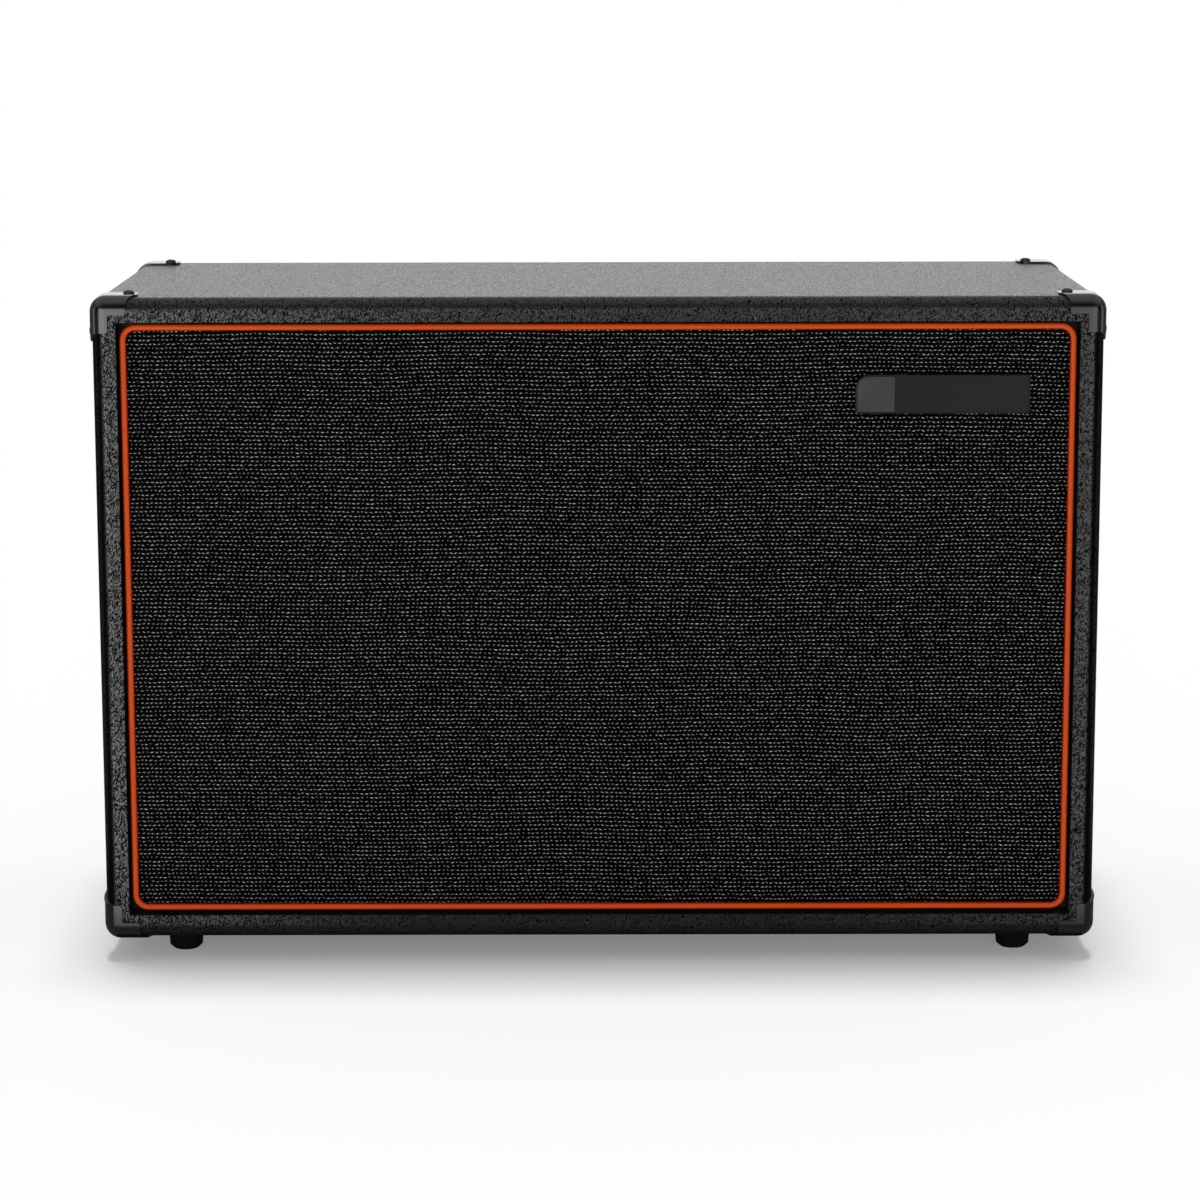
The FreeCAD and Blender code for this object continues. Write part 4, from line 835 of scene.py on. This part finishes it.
# soft edges on the hard pieces
edgeRounds = {
    "rubber_feet": 0.0009, "jack_dish": 0.0006, "socket_plate": 0.0003,
    "left_jack": 0.0003, "right_jack": 0.0003, "mode_switch": 0.0003, "handle_grips": 0.0008,
    "baffle_battens": 0.0008, "rear_battens": 0.0008, "terminal_boards": 0.0002, "driver_nuts": 0.0004,
}
for name, width in edgeRounds.items():
    weld = cad[name].modifiers.new("weld", "WELD")
    weld.merge_threshold = weldReach
    edge = cad[name].modifiers.new("edge", "BEVEL")
    edge.width = width
    edge.segments = 2
    edge.limit_method = "ANGLE"
    edge.angle_limit = math.radians(40)
    edge.harden_normals = True
print("edges rounded")

# camera at the photograph's angle
cameraSetup = {
    "place": (0.001, -2.757, 0.7285), "pitch": 10.044, "roll": -0.111,
    "lens": 110.39, "sensor": 36.0, "clipEnd": 300.0,
}
cameraData = bpy.data.cameras.new("camera")
cameraData.lens = cameraSetup["lens"]
cameraData.sensor_width = cameraSetup["sensor"]
cameraData.clip_end = cameraSetup["clipEnd"]
camera = bpy.data.objects.new("camera", cameraData)
camera.location = cameraSetup["place"]
tilt = Quaternion((1, 0, 0), math.radians(90 - cameraSetup["pitch"]))
camera.rotation_mode = "QUATERNION"
camera.rotation_quaternion = tilt @ Quaternion((0, 0, 1), math.radians(cameraSetup["roll"]))
bpy.context.scene.collection.objects.link(camera)
bpy.context.scene.camera = camera
bpy.context.scene.view_settings.view_transform = "Standard"
print("camera placed")

# stage: pale floor, white surroundings, soft light from overhead, a weaker one from the front
studio = {
    "floorSize": 120.0, "floorColor": (0.8, 0.8, 0.8), "floorRoughness": 0.9, "floorGlow": 0.2,
    "ambient": 0.36,
    "keyStrength": 1.95, "keyAngle": 15.0, "keyTurn": (-6.5, 0.0, 0.0),
    "fillStrength": 0.45, "fillAngle": 30.0, "fillTurn": (78.0, 0.0, 0.0),
}
# what glossy pieces mirror instead: dark straight ahead with a pale sweep on either side, paler on
# the left, white behind near the middle, grey overhead, a pale sector at each side, dark between
mirrored = {
    "dark": 0.025, "beside": 0.12, "under": 0.01,
    "ahead": 0.04, "left": 2.5, "right": 1.2, "sideDirection": (0.03, 0.16),
    "aheadAngle": (0.97, 0.7), "nearAt": (0.0, 0.25), "sweepTop": (0.5, 0.2),
    "above": 0.2, "aboveRise": (0.0, 0.6),
    "behind": 1.2, "behindRise": (0.7, 0.95), "behindAside": (0.5, 0.3),
    "behindAt": (0.05, 0.6), "behindSpread": (1.2, 0.6),
    "overhead": 0.5, "overheadRise": (0.25, 0.7), "overheadFront": (-0.8, -0.2),
    "flank": 0.9, "flankAngle": (1.36, 1.48, 1.68, 1.8),
}


def sweepLevel(finish, across, angle):
    ahead = mirrored["ahead"]
    leftRise = between(finish, across, *(-v for v in mirrored["sideDirection"]))
    rightRise = between(finish, across, *mirrored["sideDirection"])
    level = fromTo(finish, leftRise, ahead, mirrored["left"])
    level = calc(finish, "MULTIPLY_ADD", rightRise, mirrored["right"] - ahead, level)
    return product(finish, level, between(finish, angle, *mirrored["aheadAngle"]))


def flankLevel(finish, angle):
    rise, full, fade, end = mirrored["flankAngle"]
    within = product(finish, between(finish, angle, rise, full), between(finish, angle, end, fade))
    return product(finish, within, mirrored["flank"])


def angleFromFront(finish, x, y):  # 0 towards -Y, the same on both sides
    return calc(finish, "ARCTAN2", magnitude(finish, x), product(finish, y, -1.0))


floorMesh = bpy.data.meshes.new("floor")
half = studio["floorSize"] / 2
corners = [(-half, -half, 0), (half, -half, 0), (half, half, 0), (-half, half, 0)]
floorMesh.from_pydata(corners, [], [(0, 1, 2, 3)])
floor = bpy.data.objects.new("floor", floorMesh)
bpy.context.scene.collection.objects.link(floor)
pale = newFinish("paleFloor", studio["floorColor"], studio["floorRoughness"], shine=0.0)
floorShader = shaderOf(pale)
floorShader.inputs["Emission Color"].default_value = (1, 1, 1, 1)
floorShader.inputs["Emission Strength"].default_value = studio["floorGlow"]
axes = axisValues(pale)
low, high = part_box("vinyl_covering")
ahead = minus(pale, low.y, axes[1])
behind = minus(pale, axes[1], high.y)
fromMiddle = magnitude(pale, axes[0])
outside = minus(pale, fromMiddle, high.x)
angle = calc(pale, "ARCTAN2", greatest(pale, outside, 0.0), ahead)
fromCamera = minus(pale, ahead, cameraSetup["place"][1])
sweep = sweepLevel(pale, calc(pale, "DIVIDE", axes[0], fromCamera), angle)
sweep = product(pale, sweep, between(pale, ahead, *mirrored["nearAt"]))
apart = greatest(pale, outside, ahead, behind)
clear = product(pale, calc(pale, "GREATER_THAN", apart, 0.0), mirrored["beside"])
spread = between(pale, fromMiddle, *mirrored["behindSpread"])
rear = product(pale, between(pale, behind, *mirrored["behindAt"]), spread)
beyond = between(pale, outside, *mirrored["behindAt"])
flank = product(pale, flankLevel(pale, angleFromFront(pale, axes[0], axes[1])), beyond)
level = greatest(pale, sweep, clear, mirrored["under"], rear, flank)
shown = addNode(pale, "Emission", {"Strength": level}).outputs[0]
glossy = addNode(pale, "LightPath", {}).outputs["Is Glossy Ray"]
inputs = {0: glossy, 1: floorShader.outputs[0], 2: shown}
mixed = addNode(pale, "MixShader", inputs).outputs[0]
plug(pale, mixed, pale.node_tree.nodes["Material Output"].inputs["Surface"])
floorMesh.materials.append(pale)

world = bpy.data.worlds.new("studio")
bpy.context.scene.world = world
world.use_nodes = True
background = world.node_tree.nodes["Background"]
background.inputs["Color"].default_value = (1, 1, 1, 1)
rays = addNode(world, "LightPath", {}).outputs
aim = addNode(world, "SeparateXYZ", {0: addNode(world, "TexCoord", {}).outputs["Generated"]}).outputs
angle = angleFromFront(world, aim[0], aim[1])
lowDown = between(world, aim[2], *mirrored["sweepTop"])
sweep = product(world, sweepLevel(world, aim[0], angle), lowDown)
flank = product(world, flankLevel(world, angle), lowDown)
above = product(world, between(world, aim[1], *mirrored["aboveRise"]), mirrored["above"])
aside = between(world, magnitude(world, aim[0]), *mirrored["behindAside"])
rear = product(world, between(world, aim[1], *mirrored["behindRise"]), aside)
above = calc(world, "MULTIPLY_ADD", rear, mirrored["behind"] - mirrored["above"], above)
overhead = between(world, aim[2], *mirrored["overheadRise"])
overhead = product(world, overhead, between(world, aim[1], *mirrored["overheadFront"]))
overhead = calc(world, "MULTIPLY_ADD", overhead, mirrored["overhead"], mirrored["dark"])
air = greatest(world, sweep, above, flank, overhead)
change = minus(world, air, studio["ambient"])
unseen = calc(world, "MULTIPLY_ADD", rays["Is Glossy Ray"], change, studio["ambient"])
seen = greatest(world, rays["Is Camera Ray"], rays["Is Transmission Ray"])
plug(world, greatest(world, seen, unseen), background.inputs["Strength"])

for name in ("key", "fill"):
    lamp = bpy.data.lights.new(name, "SUN")
    lamp.energy = studio[name + "Strength"]
    lamp.angle = math.radians(studio[name + "Angle"])
    holder = bpy.data.objects.new(name, lamp)
    holder.rotation_euler = tuple(math.radians(a) for a in studio[name + "Turn"])
    holder.visible_glossy = False
    bpy.context.scene.collection.objects.link(holder)
print("stage lit")
